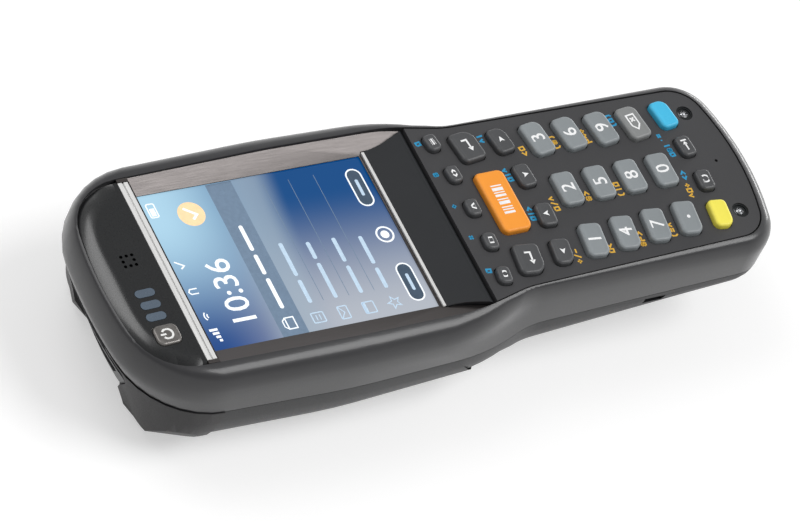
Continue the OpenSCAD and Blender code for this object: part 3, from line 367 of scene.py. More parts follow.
def piece(name, verts, faces, material, body, angle=None):
    """A mesh piece, verts in mm in the row frame."""
    me = bpy.data.meshes.new(name)
    me.from_pydata([Vector(v) * MM for v in verts], [], faces)
    me.validate()
    me.update()
    o = bpy.data.objects.new(name, me)
    scene.collection.objects.link(o)
    me.materials.append(material)
    if angle:
        soften(o, angle)
    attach(o, body)
    return o


class Solid:
    """Collects closed solids in a local frame, to be placed as one piece."""

    def __init__(self):
        self.verts, self.faces = [], []

    def add(self, verts, faces):
        base = len(self.verts)
        self.verts += verts
        self.faces += [[base + i for i in f] for f in faces]

    def plate(self, outline, z0, z1):
        """A straight slab with that outline, counter-clockwise."""
        n = len(outline)
        v = [(x, y, z0) for x, y in outline] + [(x, y, z1) for x, y in outline]
        f = [list(range(n))[::-1], list(range(n, 2 * n))]
        f += [[i, (i + 1) % n, n + (i + 1) % n, n + i] for i in range(n)]
        self.add(v, f)

    def stroke(self, points, w, z0, z1, closed=False):
        """A line of width w along the points, as a slab."""
        n = len(points)
        left, right = [], []
        for i, (x, y) in enumerate(points):
            if closed:
                p, q = points[i - 1], points[(i + 1) % n]
            else:
                p, q = points[max(i - 1, 0)], points[min(i + 1, n - 1)]
            a = Vector((x - p[0], y - p[1]))
            b = Vector((q[0] - x, q[1] - y))
            if a.length < 1e-9:
                a = b
            if b.length < 1e-9:
                b = a
            a.normalize()
            b.normalize()
            t = a + b
            t = a if t.length < 1e-6 else t.normalized()
            m = Vector((-t.y, t.x))
            # a mitre, no longer than at a corner of about 40 degrees
            k = w / 2 / max(0.35, m.dot(Vector((-a.y, a.x))))
            left.append((x + m.x * k, y + m.y * k))
            right.append((x - m.x * k, y - m.y * k))
        v = [(x, y, z) for z in (z0, z1) for side in (left, right) for x, y in side]
        lo_l, lo_r, hi_l, hi_r = 0, n, 2 * n, 3 * n
        f = []
        for i in range(n if closed else n - 1):
            j = (i + 1) % n
            f += [[hi_l + j, hi_l + i, hi_r + i, hi_r + j],
                  [lo_l + i, lo_l + j, lo_r + j, lo_r + i],
                  [lo_l + j, lo_l + i, hi_l + i, hi_l + j],
                  [lo_r + i, lo_r + j, hi_r + j, hi_r + i]]
        if not closed:
            e = n - 1
            f += [[lo_l, lo_r, hi_r, hi_l], [lo_r + e, lo_l + e, hi_l + e, hi_r + e]]
        self.add(v, f)

    def digits(self, text, size, z0, z1, at, weight):
        """Plain digits, their middle at that point."""
        cu = bpy.data.curves.new("tmp_text", "FONT")
        cu.body = text
        cu.size = size
        cu.align_x = "CENTER"
        cu.align_y = "CENTER"
        cu.extrude = (z1 - z0) / 2
        cu.offset = weight
        cu.resolution_u = 3
        o = bpy.data.objects.new("tmp_text", cu)
        scene.collection.objects.link(o)
        dg = bpy.context.evaluated_depsgraph_get()
        me = bpy.data.meshes.new_from_object(o.evaluated_get(dg))
        zm = (z0 + z1) / 2
        self.add([(v.co.x + at[0], v.co.y + at[1], v.co.z + zm) for v in me.vertices],
                 [list(p.vertices) for p in me.polygons])
        bpy.data.objects.remove(o)
        bpy.data.curves.remove(cu)
        bpy.data.meshes.remove(me)

    def place(self, name, matrix, material, body, slot):
        return piece(name, [matrix @ Vector(v) for v in self.verts], self.faces, material, body)


def circle(cx, cy, r, n, a0=0.0, a1=360.0):
    """Points of a circle, or of an arc with both its ends."""
    full = abs(a1 - a0) >= 360
    k = n if full else n + 1
    return [(cx + r * math.cos(math.radians(a0 + (a1 - a0) * i / n)),
             cy + r * math.sin(math.radians(a0 + (a1 - a0) * i / n))) for i in range(k)]


def rounded(w, h, r, n, at=(0, 0)):
    """Counter-clockwise outline of a rectangle; r holds four radii from the tail left corner."""
    r = [r] * 4 if isinstance(r, (int, float)) else r
    pts = []
    for k, (sx, sy, a) in enumerate([(-1, -1, 180), (1, -1, 270), (1, 1, 0), (-1, 1, 90)]):
        cx, cy = sx * (w / 2 - r[k]), sy * (h / 2 - r[k])
        for i in range(n + 1):
            t = math.radians(a + 90 * i / n)
            pts.append((at[0] + cx + r[k] * math.cos(t), at[1] + cy + r[k] * math.sin(t)))
    return pts


def stack(rings):
    """A closed solid through rings of points with equal counts, the lowest first."""
    n = len(rings[0])
    verts = [p for r in rings for p in r]
    faces = [list(range(n))[::-1]]
    for k in range(len(rings) - 1):
        a, b = k * n, (k + 1) * n
        faces += [[a + i, a + (i + 1) % n, b + (i + 1) % n, b + i] for i in range(n)]
    faces.append([(len(rings) - 1) * n + i for i in range(n)])
    return verts, faces


def rot_x(deg):
    return Matrix.Rotation(math.radians(deg), 4, "X")


def rot_z(deg):
    return Matrix.Rotation(math.radians(deg), 4, "Z")


ON_PLATE = Matrix.Translation((0, PLATE_Y, PLATE_Z)) @ rot_x(-TILT)
ON_PANEL = Matrix.Translation((0, PANEL_Y, PANEL_Z)) @ rot_x(-PANEL_TILT)
ON_GLASS = Matrix.Translation((0, 0, GLASS_Z))

# ---- CAD nodes: materials and smooth shading ----
LOOK_OF = {"head_bumper": "bumper", "top_panel": "panel"}  # where it isn't the slot's own
slot_of = {s["node"]: s["material_slot"] for s in frame["record"]["subparts"]}
for name, o in nodes.items():
    o.data.materials.clear()
    look = LOOK_OF.get(name, slot_of[name])
    o.data.materials.append(M.get(look, M["dark_plastic"]))
    soften(o, CAD_ANGLE)

# ---- Keys ----
# side is -1, 0 or 1, at is the place on the plate for side 1, outer the radius of the tail corner
# on the outer side
Key = namedtuple("Key", "name side at size turn outer slot")
DARK, GREY = "key_dark", "key_grey"
DIGIT_Y, DIGIT_PITCH, DIGIT_SIZE = -35.3, 9.75, (10.4, 6.5)


def pair(names, at, size, turn, outer, slots):
    """Two keys that mirror each other, the -X one first."""
    slots = slots if isinstance(slots, tuple) else (slots, slots)
    return [Key(names[i], 2 * i - 1, at, size, turn, outer, slots[i]) for i in (0, 1)]


KEYS = pair(("key_f1", "key_f5"), (21.5, -5), (5.3, 3.9), TURN + 1, 1.2, DARK)
KEYS += pair(("key_f2", "key_f4"), (10.9, -6.25), (5.3, 3.9), TURN - 3, 1.2, DARK)
KEYS += [Key("key_f3", 0, (0, -6.5), (5.3, 3.9), 0, 1.2, DARK)]
KEYS += pair(("key_enter_left", "key_enter_right"), (18.4, -14.05), (9.3, 7.4), TURN, 3.4, DARK)
KEYS += [Key("key_scan", 0, (0, -15.55), (19.2, 8.6), 0, 1.9, "key_orange")]
KEYS += pair(("key_up", "key_down"), (6.4, -25.35), (7.2, 4.9), TURN - 3, 1.4, DARK)
KEYS += pair(("key_left", "key_right"), (18.2, -24.15), (7.9, 5.5), TURN + 1, 2.8, DARK)
for i, (a, b, c) in enumerate((("key_1", "key_2", "key_3"), ("key_4", "key_5", "key_6"),
                               ("key_7", "key_8", "key_9"), ("key_dot", "key_0", "key_backspace"))):
    y = DIGIT_Y - i * DIGIT_PITCH
    KEYS += [Key(b, 0, (0, y), DIGIT_SIZE, 0, 1.7, GREY)]
    KEYS += pair((a, c), (16.75 - 0.3 * i, y + 0.65), DIGIT_SIZE, TURN, 2.4,
                 (GREY, "key_warm_grey" if c == "key_backspace" else GREY))
KEYS += pair(("key_yellow", "key_blue"), (16.6, -73.95), (8.6, 5.5), TURN, 2.6,
             ("key_yellow_plastic", "key_blue_plastic"))
KEYS += pair(("key_escape", "key_tab"), (5.65, -74.95), (6.5, 4.5), TURN - 3, 1.5, DARK)


def key_frame(k):
    side = -1 if k.side < 0 else 1
    return ON_PLATE @ Matrix.Translation((side * k.at[0], k.at[1], 0)) @ rot_z(side * k.turn)


def cap(k):
    """A moulded key cap: flange under the plate, straight sides, a round shoulder, a dished top."""
    w, h = k.size
    corners = [k.outer if k.side <= 0 else CORNER_R, k.outer if k.side >= 0 else CORNER_R,
               CORNER_R, CORNER_R]

    def ring(inset, z):
        radii = [max(LEAST_R, r - inset) for r in corners]
        return [(x, y, z) for x, y in rounded(w - 2 * inset, h - 2 * inset, radii, 6)]

    under = -PLATE_T - FIT - FLANGE_T
    over = under + FLANGE_T
    rings = [ring(-FLANGE_OUT, under), ring(-FLANGE_OUT, over), ring(0, over)]
    rings += [ring(DRAFT, KEY_RISE - SHOULDER_R - SIDE_END)]
    for a in range(15, 91, 15):
        c, d = math.cos(math.radians(a)), math.sin(math.radians(a))
        rings += [ring(DRAFT + SHOULDER_R * (1 - c), KEY_RISE - SHOULDER_R + SHOULDER_R * d)]
    rings += [ring(SHOULDER_R + inset, KEY_RISE - depth) for inset, depth in DISH]
    return stack(rings)


# heights of the legends
TOP = KEY_RISE - DISH[-1][1]
Z0, Z1 = TOP + LEGEND_Z[0], TOP + LEGEND_Z[1]
ARROWS = {"key_left": 180, "key_right": 0, "key_up": 90, "key_down": -90}
# widths of the bars on the scan key and of the gaps after them
BARS = ((0.7, 0.45), (0.35, 0.4), (0.35, 0.75), (1.0, 0.4), (0.35, 0.7), (0.7, 0.4),
        (0.35, 0.4), (1.0, 0.45), (0.35, 0))


def arrow(s, angle, size):
    """A filled arrowhead that points along the angle."""
    c, d = math.cos(math.radians(angle)), math.sin(math.radians(angle))
    head = ((size, 0), (-size * 0.55, size * 0.75), (-size * 0.2, 0),
            (-size * 0.55, -size * 0.75))
    s.plate([(x * c - y * d, x * d + y * c) for x, y in head], Z0, Z1)


def legend(s, name):
    """Generic digits, arrows and signs."""
    w = LEGEND_W
    if name[4:].isdigit():
        s.digits(name[4:], 5.6, Z0, Z1, (0, -0.1), 0.05)
    elif name == "key_dot":
        s.plate(circle(0, -0.2, 0.5, 16), Z0, Z1)
    elif name in ARROWS:
        arrow(s, ARROWS[name], 1.1)
    elif name.startswith("key_enter"):
        s.stroke([(1.7, 1.1), (1.7, -0.5), (-1.0, -0.5)], w + 0.08, Z0, Z1)
        s.plate([(-2.0, -0.5), (-0.7, -1.35), (-0.7, 0.35)], Z0, Z1)
    elif name == "key_scan":
        x = -4.2
        for bar, gap in BARS:
            s.plate([(x, -1.6), (x + bar, -1.6), (x + bar, 1.6), (x, 1.6)], Z0, Z1)
            x += bar + gap
    elif name == "key_backspace":
        s.stroke([(2.3, 1.2), (-1.1, 1.2), (-2.5, 0), (-1.1, -1.2), (2.3, -1.2)], w, Z0, Z1, True)
        s.stroke([(0.1, 0.55), (1.3, -0.55)], w, Z0, Z1)
        s.stroke([(0.1, -0.55), (0.5, -0.18)], w, Z0, Z1)
        s.stroke([(0.9, 0.18), (1.3, 0.55)], w, Z0, Z1)
    elif name == "key_tab":
        s.stroke([(-1.6, 0), (0.5, 0)], w, Z0, Z1)
        s.plate([(1.25, 0), (0.3, 0.7), (0.3, -0.7)], Z0, Z1)
        s.stroke([(1.6, 0.9), (1.6, -0.9)], w, Z0, Z1)
    elif name == "key_escape":
        s.stroke(circle(0, 0, 1.05, 24, 120, 400), w, Z0, Z1)
        s.plate([(-1.25, 0.2), (-0.1, 0.75), (-1.05, 1.45)], Z0, Z1)
    elif name == "key_f1":
        s.stroke(circle(0, 0, 0.85, 24), w, Z0, Z1, True)
    elif name == "key_f2":
        s.stroke([(-0.8, -0.75), (0.8, -0.75), (0.8, 0.75), (-0.8, 0.75)], w, Z0, Z1, True)
    elif name == "key_f3":
        s.stroke([(-0.95, -0.75), (0.95, -0.75), (0, 0.85)], w, Z0, Z1, True)
    elif name == "key_f4":
        s.stroke([(0, -0.95), (0.95, 0), (0, 0.95), (-0.95, 0)], w, Z0, Z1, True)
    elif name == "key_f5":
        for y in (-0.7, 0, 0.7):
            s.stroke([(-1, y), (1, y)], w, Z0, Z1)


for k in KEYS:
    v, f = cap(k)
    at = key_frame(k)
    o = piece("cap_" + k.name[4:], [at @ Vector(p) for p in v], f, M[k.slot], k.name,
              CAP_ANGLE)
    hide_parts(k.name)
    if k.name not in ("key_yellow", "key_blue"):
        s = Solid()
        legend(s, k.name)
        s.place("legend_" + k.name[4:], at, INK["white"], k.name, k.slot)

# ---- Small printed signs on the keypad plate ----
SIGNS = {
    "plus": [[(-0.5, 0), (0.5, 0)], [(0, 0.5), (0, -0.5)]],
    "minus": [[(-0.5, 0), (0.5, 0)]],
    "equal": [[(-0.5, 0.25), (0.5, 0.25)], [(-0.5, -0.25), (0.5, -0.25)]],
    "slash": [[(-0.35, -0.7), (0.35, 0.7)]],
    "times": [[(-0.42, -0.42), (0.42, 0.42)], [(-0.42, 0.42), (0.42, -0.42)]],
    "less": [[(0.4, 0.55), (-0.4, 0), (0.4, -0.55)]],
    "more": [[(-0.4, 0.55), (0.4, 0), (-0.4, -0.55)]],
    "open": [[(0.25, 0.75), (-0.15, 0.4), (-0.15, -0.4), (0.25, -0.75)]],
    "close": [[(-0.25, 0.75), (0.15, 0.4), (0.15, -0.4), (-0.25, -0.75)]],
    "square": [[(-0.4, 0.5), (0.4, 0.5), (0.4, -0.5), (-0.4, -0.5), (-0.4, 0.5)]],
    "caret": [[(-0.45, -0.3), (0, 0.5), (0.45, -0.3)]],
    "bar": [[(0, 0.75), (0, -0.75)]],
    "wave": [[(-0.55, -0.1), (-0.25, 0.25), (0.25, -0.25), (0.55, 0.1)]],
    "hash": [[(-0.2, 0.65), (-0.2, -0.65)], [(0.2, 0.65), (0.2, -0.65)],
             [(-0.55, 0.25), (0.55, 0.25)], [(-0.55, -0.25), (0.55, -0.25)]],
    "dot": [[(-0.16, 0), (0.16, 0)]],
    "tall": [[(-0.4, -0.7), (-0.4, 0.7), (0.35, 0.7), (0.35, 0.05), (-0.4, 0.05)]],
}


def signs(solid, at, names, turn, size, pitch, w):
    """A row of small signs on the plate, its middle at that point."""
    c, d = math.cos(math.radians(turn)), math.sin(math.radians(turn))
    x0 = -(len(names) - 1) / 2 * pitch
    for i, n in enumerate(names):
        for line in SIGNS[n]:
            pts = [((x0 + i * pitch) + p[0] * size, p[1] * size) for p in line]
            solid.stroke([(at[0] + x * c - y * d, at[1] + x * d + y * c) for x, y in pts], w,
                         *SIGN_Z)


def sign_rows(name, ink, size, pitch, w, rows):
    """All rows of one colour, as one piece."""
    s = Solid()
    for at, names, turn in rows:
        signs(s, at, names, turn, size, pitch, w)
    s.place(name, ON_PLATE, INK[ink], "terminal", "keypad_face")


sign_rows("signs_yellow", "yellow", 1.3, 1.65, 0.44, (
    ((14.3, -29.45), ("less", "square"), 7),
    ((15.1, -39.35), ("open", "hash", "close"), 7),
    ((15.2, -48.95), ("tall", "wave", "plus"), 7),
    ((-3.2, -29.9), ("square", "slash", "caret"), 0),
    ((-2.9, -40.2), ("hash", "more"), 0),
    ((-2.8, -49.9), ("open", "bar", "square"), 0),
    ((-7.4, -69.6), ("caret", "square", "plus"), -4),
    ((-20.0, -28.3), ("plus", "slash", "minus"), -7),
    ((-19.6, -38.5), ("square", "less"), -7),
    ((-18.8, -48.4), ("hash", "tall", "more"), -7),
    ((-18.1, -58.4), ("open", "equal", "caret"), -7)))
sign_rows("signs_blue", "blue", 1.2, 1.5, 0.5, (
    ((22.5, -1.6), ("square",), 8),
    ((12.3, -1.9), ("hash",), 4),
    ((1.9, -2.2), ("plus",), 0),
    ((-8.2, -2.2), ("times",), -4),
    ((-18.9, -2.0), ("square",), -8),
    ((20.5, -19.6), ("caret", "bar"), 7),
    ((8.1, -21.5), ("square", "bar", "caret"), 4),
    ((-4.8, -22.0), ("square", "bar", "more"), -4),
    ((18.4, -58.6), ("open", "square", "close"), 7),
    ((10.1, -69.7), ("dot", "equal"), 4),
    ((5.9, -70.5), ("square", "hash", "bar"), 4),
    ((-2.5, -70.4), ("less", "more"), -4)))

# ---- Black rings in the keypad screws' seats, painted shade of a deeper hole: middle radius, width, lower and upper height ----
SEAT_SHADE_RINGS = ((SCREW_R + 0.33, 0.44, -0.3, -0.27),
              (SCREW_R - 0.3, 0.7, -SCREW_SINK, -SCREW_SINK + 0.02))
s = Solid()
for x in (-SCREW_X, SCREW_X):
    for r, w, low, high in SEAT_SHADE_RINGS:
        s.stroke(circle(x, SCREW_Y, r, 40), w, low, high, True)
s.place("screw_seats", ON_PLATE, M["gloss_black"], "terminal", "keypad_face")

# ---- Power button ----
pw, ph = POWER_SIZE
under = -PLATE_T - POWER_FIT - POWER_FLANGE
over = under + POWER_FLANGE
steps = [(-POWER_FLANGE, under), (-POWER_FLANGE, over), (0, over)]
# inset and drop of the rounded, slightly dished top
steps += [(inset, POWER_RISE - drop) for inset, drop in (
    (0, 0.5), (0.07, 0.25), (0.24, 0.08), (0.5, 0), (1.1, 0), (1.4, 0.06))]
rings = []
for inset, z in steps:
    rings.append([(x, y, z) for x, y in rounded(pw - 2 * inset, ph - 2 * inset,
                                                max(0.2, POWER_R - inset), 6, POWER_AT)])
v, f = stack(rings)
o = piece("power_cap", [ON_PANEL @ Vector(p) for p in v], f, M["button_silver"], "power_button",
          CAP_ANGLE)
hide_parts("power_button")
s = Solid()
low, high = POWER_RISE - 0.1, POWER_RISE - 0.045
px, py = POWER_AT
s.stroke(circle(px, py, 1.4, 30, 125, 415), 0.55, low, high)
s.stroke([(px, py + 0.35), (px, py + 1.85)], 0.5, low, high)
s.place("power_ring", ON_PANEL, INK["ring"], "power_button", "button_silver")


# ---- Display ----
# colours at the picture's -X and +X side
TAIL_COLORS, HEAD_COLORS = ("b6bcc6", "004a88"), ("1e4a8c", "b2daf0")
ACROSS = (-SCREEN_W / 2, 0.35 * SCREEN_W)
ALONG = (SCREEN_Y0 + 24, SCREEN_Y1 - 2)
# the paler band: its slant, where it comes and goes along Y, its colour and strength
SLANT, BAND_IN, BAND_OUT, BAND_COLOR, BAND_SHARE = 0.10, (36, 44), (58, 46), "a9bac6", 0.55
UNLIT, UNLIT_COLOR, GLOW = 0.85, "101418", 0.85


def screen_picture():
    """The lit picture behind the glass: a soft sky with a paler diagonal band."""
    m, nt, bsdf = new_material("screen_picture")
    tc = nt.nodes.new("ShaderNodeTexCoord")
    xyz = nt.nodes.new("ShaderNodeSeparateXYZ")
    nt.links.new(tc.outputs["Object"], xyz.inputs["Vector"])

    def span(out, low, high):
        r = nt.nodes.new("ShaderNodeMapRange")
        r.interpolation_type = "SMOOTHSTEP"
        r.inputs["From Min"].default_value = low * MM
        r.inputs["From Max"].default_value = high * MM
        nt.links.new(out, r.inputs["Value"])
        return r.outputs["Result"]

    def mix(fac, a, b):
        x = nt.nodes.new("ShaderNodeMix")
        x.data_type = "RGBA"
        nt.links.new(fac, x.inputs["Factor"])
        for i, c in ((6, a), (7, b)):
            if isinstance(c, tuple):
                x.inputs[i].default_value = c
            else:
                nt.links.new(c, x.inputs[i])
        return x.outputs[2]

    u = span(xyz.outputs["X"], *ACROSS)
    v = span(xyz.outputs["Y"], *ALONG)
    tail = mix(u, *(rgb(c) for c in TAIL_COLORS))
    head = mix(u, *(rgb(c) for c in HEAD_COLORS))
    base = mix(v, tail, head)
    slant = nt.nodes.new("ShaderNodeMath")
    slant.operation = "MULTIPLY_ADD"
    nt.links.new(xyz.outputs["X"], slant.inputs[0])
    slant.inputs[1].default_value = SLANT
    nt.links.new(xyz.outputs["Y"], slant.inputs[2])
    band = nt.nodes.new("ShaderNodeMath")
    band.operation = "MULTIPLY"
    nt.links.new(span(slant.outputs[0], *BAND_IN), band.inputs[0])
    nt.links.new(span(slant.outputs[0], *BAND_OUT), band.inputs[1])
    share = nt.nodes.new("ShaderNodeMath")
    share.operation = "MULTIPLY"
    share.inputs[1].default_value = BAND_SHARE
    nt.links.new(band.outputs[0], share.inputs[0])
    col = mix(share.outputs[0], base, rgb(BAND_COLOR))
    unlit = nt.nodes.new("ShaderNodeMix")
    unlit.data_type = "RGBA"
    unlit.inputs["Factor"].default_value = UNLIT
    nt.links.new(col, unlit.inputs[6])
    unlit.inputs[7].default_value = rgb(UNLIT_COLOR)
    nt.links.new(unlit.outputs[2], bsdf.inputs["Base Color"])
    nt.links.new(col, bsdf.inputs["Emission Color"])
    bsdf.inputs["Emission Strength"].default_value = GLOW
    bsdf.inputs["Roughness"].default_value = 0.16
    bsdf.inputs["Coat Weight"].default_value = 0.2
    bsdf.inputs["Coat Roughness"].default_value = 0.04
    return m


M["touch_glass"] = screen_picture()
GLASS_STEPS = ((0.15, -1.1), (0, -0.95), (0, -0.15), (0.15, 0))  # inset and height
rings = []
gx, gy = GLASS_W, GLASS_Y[1] - GLASS_Y[0]
mid_y = (GLASS_Y[0] + GLASS_Y[1]) / 2
for inset, z in GLASS_STEPS:
    rings.append([(x, y, z) for x, y in rounded(gx - 2 * inset, gy - 2 * inset, 1.0 - inset, 5,
                                                (0, mid_y))])
v, f = stack(rings)
o = piece("glass_panel", [ON_GLASS @ Vector(p) for p in v], f, M["touch_glass"], "terminal",
          CAP_ANGLE)
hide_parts("touch_panel")

UI = {
    "white": print_ink("ui_white", rgb("eef3f6"), 0.2, 0.35),
    "pale": print_ink("ui_pale", rgb("b9cfe2"), 0.2, 0.25),
    "shade": print_ink("ui_shade", rgb("6f8399"), 0.2, 0.2),
    "orange": print_ink("ui_orange", rgb("f3cfa2"), 0.2, 0.35),
    "dark": print_ink("ui_dark", rgb("47586a"), 0.2, 0.1),
}
ui = {k: Solid() for k in UI}


def line(kind, pts, w, layer=1, closed=False):
    ui[kind].stroke(pts, w, *LAYERS[layer], closed)


def fill(kind, pts, layer=1):
    ui[kind].plate(pts, *LAYERS[layer])


# status row at the head end: signal bars, waves, a bell, a battery
for i in range(4):
    x = -21.5 + i * 1.1
    fill("white", [(x, 70.4), (x + 0.7, 70.4), (x + 0.7, 71.2 + 0.5 * i), (x, 71.2 + 0.5 * i)])
for r in (0.8, 1.6):
    line("white", circle(-13.6, 70.5, r, 10, 45, 135), 0.35)
line("white", [(-6.6, 70.4), (-6.6, 72.4), (-5.9, 72.9), (-5.1, 72.4), (-5.1, 70.4)], 0.35)
line("white", [(1.2, 71.7), (2.0, 70.6), (3.6, 72.8)], 0.4)
line("white", rounded(4.2, 2.2, 0.4, 3, (19.6, 71.6)), 0.35, 1, True)
fill("white", [(17.9, 70.9), (20.3, 70.9), (20.3, 72.3), (17.9, 72.3)])
# clock and the round button beside it
ui["white"].digits("10:36", 9.6, *LAYERS[1], (-8.2, 61.6), 0.04)
fill("orange", circle(16.6, 61.8, 3.7, 36), 0)
line("white", [(14.9, 61.9), (16.2, 60.4), (18.6, 63.4)], 0.7, 2)
# a band that shows the chosen row
fill("shade", [(-24.2, 47.0), (24.2, 47.0), (24.2, 54.4), (-24.2, 54.4)], 0)


SIGN_X, WORDS_X, WORD_GAP = -20.2, -15.6, 1.3


def row(y, sign, words, tone="pale"):
    """A row of the list: a sign and strokes in place of words."""
    x = SIGN_X
    if sign == "sheet":
        line(tone, rounded(3.0, 3.4, 0.3, 3, (x, y)), 0.35, 1, True)
        line(tone, [(x - 0.8, y + 0.5), (x + 0.8, y + 0.5)], 0.3)
        line(tone, [(x - 0.8, y - 0.5), (x + 0.8, y - 0.5)], 0.3)
    elif sign == "letter":
        line(tone, rounded(3.8, 2.6, 0.3, 3, (x, y)), 0.35, 1, True)
        line(tone, [(x - 1.7, y + 1.1), (x, y - 0.2), (x + 1.7, y + 1.1)], 0.3)
    elif sign == "days":
        line(tone, rounded(3.4, 3.2, 0.3, 3, (x, y)), 0.35, 1, True)
        fill(tone, [(x - 1.6, y + 0.7), (x + 1.6, y + 0.7), (x + 1.6, y + 1.5), (x - 1.6, y + 1.5)])
    elif sign == "star":
        line(tone, [(x + (1.9 if i % 2 else 0.85) * math.sin(math.radians(36 * i)),
                     y - (1.9 if i % 2 else 0.85) * math.cos(math.radians(36 * i)))
                    for i in range(10)], 0.3, 1, True)
    elif sign == "box":
        line(tone, [(x - 1.7, y - 1.4), (x + 1.7, y - 1.4), (x + 1.7, y + 1.0), (x - 1.7, y + 1.0)],
             0.35, 1, True)
        line(tone, [(x - 1.7, y + 1.0), (x - 0.9, y + 1.9), (x + 0.9, y + 1.9), (x + 1.7, y + 1.0)],
             0.3)
    x = WORDS_X
    for length in words:
        fill(tone, rounded(length, 1.15, 0.5, 4, (x + length / 2, y)))
        x += length + WORD_GAP


row(50.7, "box", (9.4, 6.2, 8.0), "white")
row(42.6, "sheet", (7.2, 10.4))
row(35.2, "letter", (11.0, 5.4))
row(27.8, "days", (8.6, 7.6))
row(20.4, "star", (6.4, 8.8))
# thin rules between the rows
for y in (38.9, 31.5, 24.1):
    line("shade", [(WORDS_X, y), (21.5, y)], 0.16, 0)
# buttons along the tail end
BUTTON_X, BUTTON_Y, BUTTON_W = 15.2, 13.3, 11.6
for x in (-BUTTON_X, BUTTON_X):
    outline = rounded(BUTTON_W, 4.2, 2.05, 6, (x, BUTTON_Y))
    fill("dark", outline, 0)
    line("white", outline, 0.42, 2, True)
    fill("pale", rounded(BUTTON_W - 6.4, 0.9, 0.4, 4, (x, BUTTON_Y)), 2)
line("white", circle(0, BUTTON_Y, 2.3, 30), 0.5, 1, True)
fill("white", circle(0, BUTTON_Y, 1.2, 20))
for k, s in ui.items():
    s.place("display_" + k, ON_GLASS, UI[k], "terminal", "touch_glass")

# ---- Camera, floor and light (metres) ----
scene.view_settings.view_transform = "Standard"
# the camera that the photo's outline was fitted with
FOCAL_PX, PHOTO_W, SENSOR = 5081.5, 800, 36
CAMERA_AT = (-0.59072, 0.65429, 0.97437)
RIGHT = Vector((-0.42166961, -0.84930399, 0.31761213))
UP = Vector((0.78434726, -0.1658879, 0.59772952))
LOOK = Vector((0.45496606, -0.50116258, -0.73609915))
FLOOR_HALF, FLOOR_TONES = 6, (0.30, 0.32)
FLOOR_SHOWN, FLOOR_LIFT = 0.62, 0.48  # diffuse share and glow where the camera sees it
LEVEL = 0.36  # of the world, where it lights
# what is seen of the world: a white horizon, a dim ceiling (height, brightness)
HORIZON = ((0.0, 1.0), (0.14, 1.0), (0.3, 0.6), (0.5, 0.28), (1.0, 0.2))
KEY_FROM, KEY_POWER, KEY_ANGLE = Vector((-0.27, -0.5, 0.82)), 1.6, 34
# two lamps that show as highlights, on the panel's edge at the head and on the rim of the tail:
# direction, distance, aim, size, power
LAMPS = {"edge": ((0.455, 0.34, 0.82), 0.9, (0, 0.085, 0.03), (0.5, 0.5), 2.1),
         "rim": ((0.41, -0.905, 0.095), 1.2, (0.0, -0.06, 0.03), (0.6, 0.14), 3.6)}

cam = bpy.data.cameras.new("camera")
cam.sensor_width = SENSOR
cam.lens = FOCAL_PX / PHOTO_W * SENSOR
cam.clip_start, cam.clip_end = 0.05, 20
camera = bpy.data.objects.new("camera", cam)
scene.collection.objects.link(camera)
camera.matrix_world = Matrix([(RIGHT[i], UP[i], -LOOK[i], CAMERA_AT[i]) for i in range(3)]
                             + [(0, 0, 0, 1)])
scene.camera = camera

floor = bpy.data.meshes.new("floor")
h = FLOOR_HALF
floor.from_pydata([(-h, -h, 0), (h, -h, 0), (h, h, 0), (-h, h, 0)], [], [(0, 1, 2, 3)])
floor_o = bpy.data.objects.new("floor", floor)
scene.collection.objects.link(floor_o)
m, nt, bsdf = new_material("floor")
low, high = FLOOR_TONES
nt.links.new(tones(nt, noise(nt, 3, 2), (low, low, low, 1), (high, high, high, 1)),
             bsdf.inputs["Base Color"])
bsdf.inputs["Roughness"].default_value = 0.9
bsdf.inputs["Specular IOR Level"].default_value = 0.1
shown = nt.nodes.new("ShaderNodeBsdfDiffuse")
shown.inputs["Color"].default_value = (FLOOR_SHOWN, FLOOR_SHOWN, FLOOR_SHOWN, 1)
lift = nt.nodes.new("ShaderNodeEmission")
lift.inputs["Color"].default_value = (1, 1, 1, 1)
lift.inputs["Strength"].default_value = FLOOR_LIFT
both_on = nt.nodes.new("ShaderNodeAddShader")
nt.links.new(shown.outputs[0], both_on.inputs[0])
nt.links.new(lift.outputs[0], both_on.inputs[1])


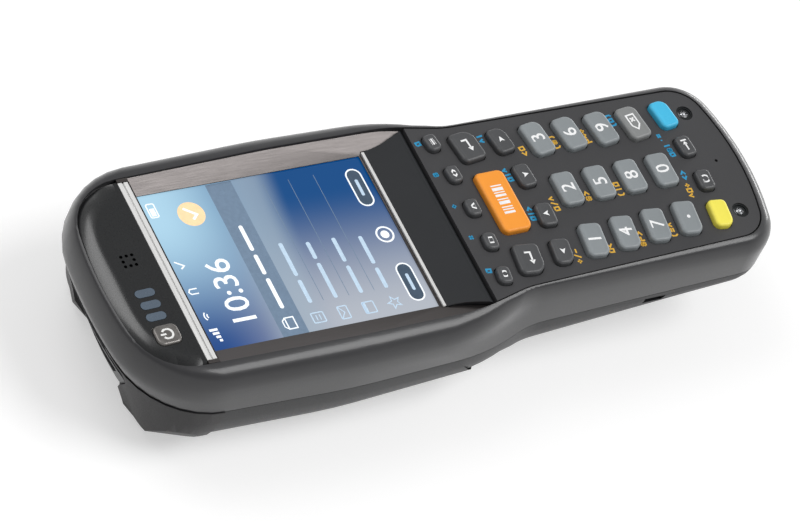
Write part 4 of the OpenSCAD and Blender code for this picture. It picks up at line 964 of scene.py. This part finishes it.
def seen_rays(nt):
    """1 for camera, glossy and transmission rays."""
    rays = nt.nodes.new("ShaderNodeLightPath")
    total = rays.outputs["Is Camera Ray"]
    for kind in ("Is Glossy Ray", "Is Transmission Ray"):
        add = nt.nodes.new("ShaderNodeMath")
        add.operation = "MAXIMUM"
        nt.links.new(total, add.inputs[0])
        nt.links.new(rays.outputs[kind], add.inputs[1])
        total = add.outputs[0]
    return total


pick = nt.nodes.new("ShaderNodeMixShader")
nt.links.new(seen_rays(nt), pick.inputs["Fac"])
nt.links.new(bsdf.outputs[0], pick.inputs[1])
nt.links.new(both_on.outputs[0], pick.inputs[2])
nt.links.new(pick.outputs[0], nt.nodes["Material Output"].inputs["Surface"])
floor.materials.append(m)

world = bpy.data.worlds.new("world")
scene.world = world
world.use_nodes = True
wt = world.node_tree
bg = wt.nodes["Background"]
bg.inputs["Color"].default_value = (LEVEL, LEVEL, LEVEL, 1)
bg.inputs["Strength"].default_value = 1.0
tc = wt.nodes.new("ShaderNodeTexCoord")
height = wt.nodes.new("ShaderNodeSeparateXYZ")
wt.links.new(tc.outputs["Generated"], height.inputs["Vector"])
white = wt.nodes.new("ShaderNodeBackground")
stops = [(p, (c, c, c, 1)) for p, c in HORIZON]
wt.links.new(ramp(wt, height.outputs["Z"], stops), white.inputs["Color"])
white.inputs["Strength"].default_value = 1.0
mixer = wt.nodes.new("ShaderNodeMixShader")
wt.links.new(seen_rays(wt), mixer.inputs["Fac"])
wt.links.new(bg.outputs[0], mixer.inputs[1])
wt.links.new(white.outputs[0], mixer.inputs[2])
wt.links.new(mixer.outputs[0], wt.nodes["World Output"].inputs["Surface"])

sun = bpy.data.lights.new("key", "SUN")
sun.energy, sun.angle = KEY_POWER, math.radians(KEY_ANGLE)
sun_o = bpy.data.objects.new("key", sun)
scene.collection.objects.link(sun_o)
sun_o.rotation_euler = (-KEY_FROM).to_track_quat("-Z", "Y").to_euler()
for name, (direction, distance, aim, size, power) in LAMPS.items():
    lamp = bpy.data.lights.new(name, "AREA")
    lamp.shape = "RECTANGLE"
    lamp.size, lamp.size_y = size
    lamp.energy = power
    lamp_o = bpy.data.objects.new(name, lamp)
    scene.collection.objects.link(lamp_o)
    lamp_o.location = Vector(direction) * distance
    lamp_o.rotation_euler = (Vector(aim) - lamp_o.location).to_track_quat("-Z", "Y").to_euler()
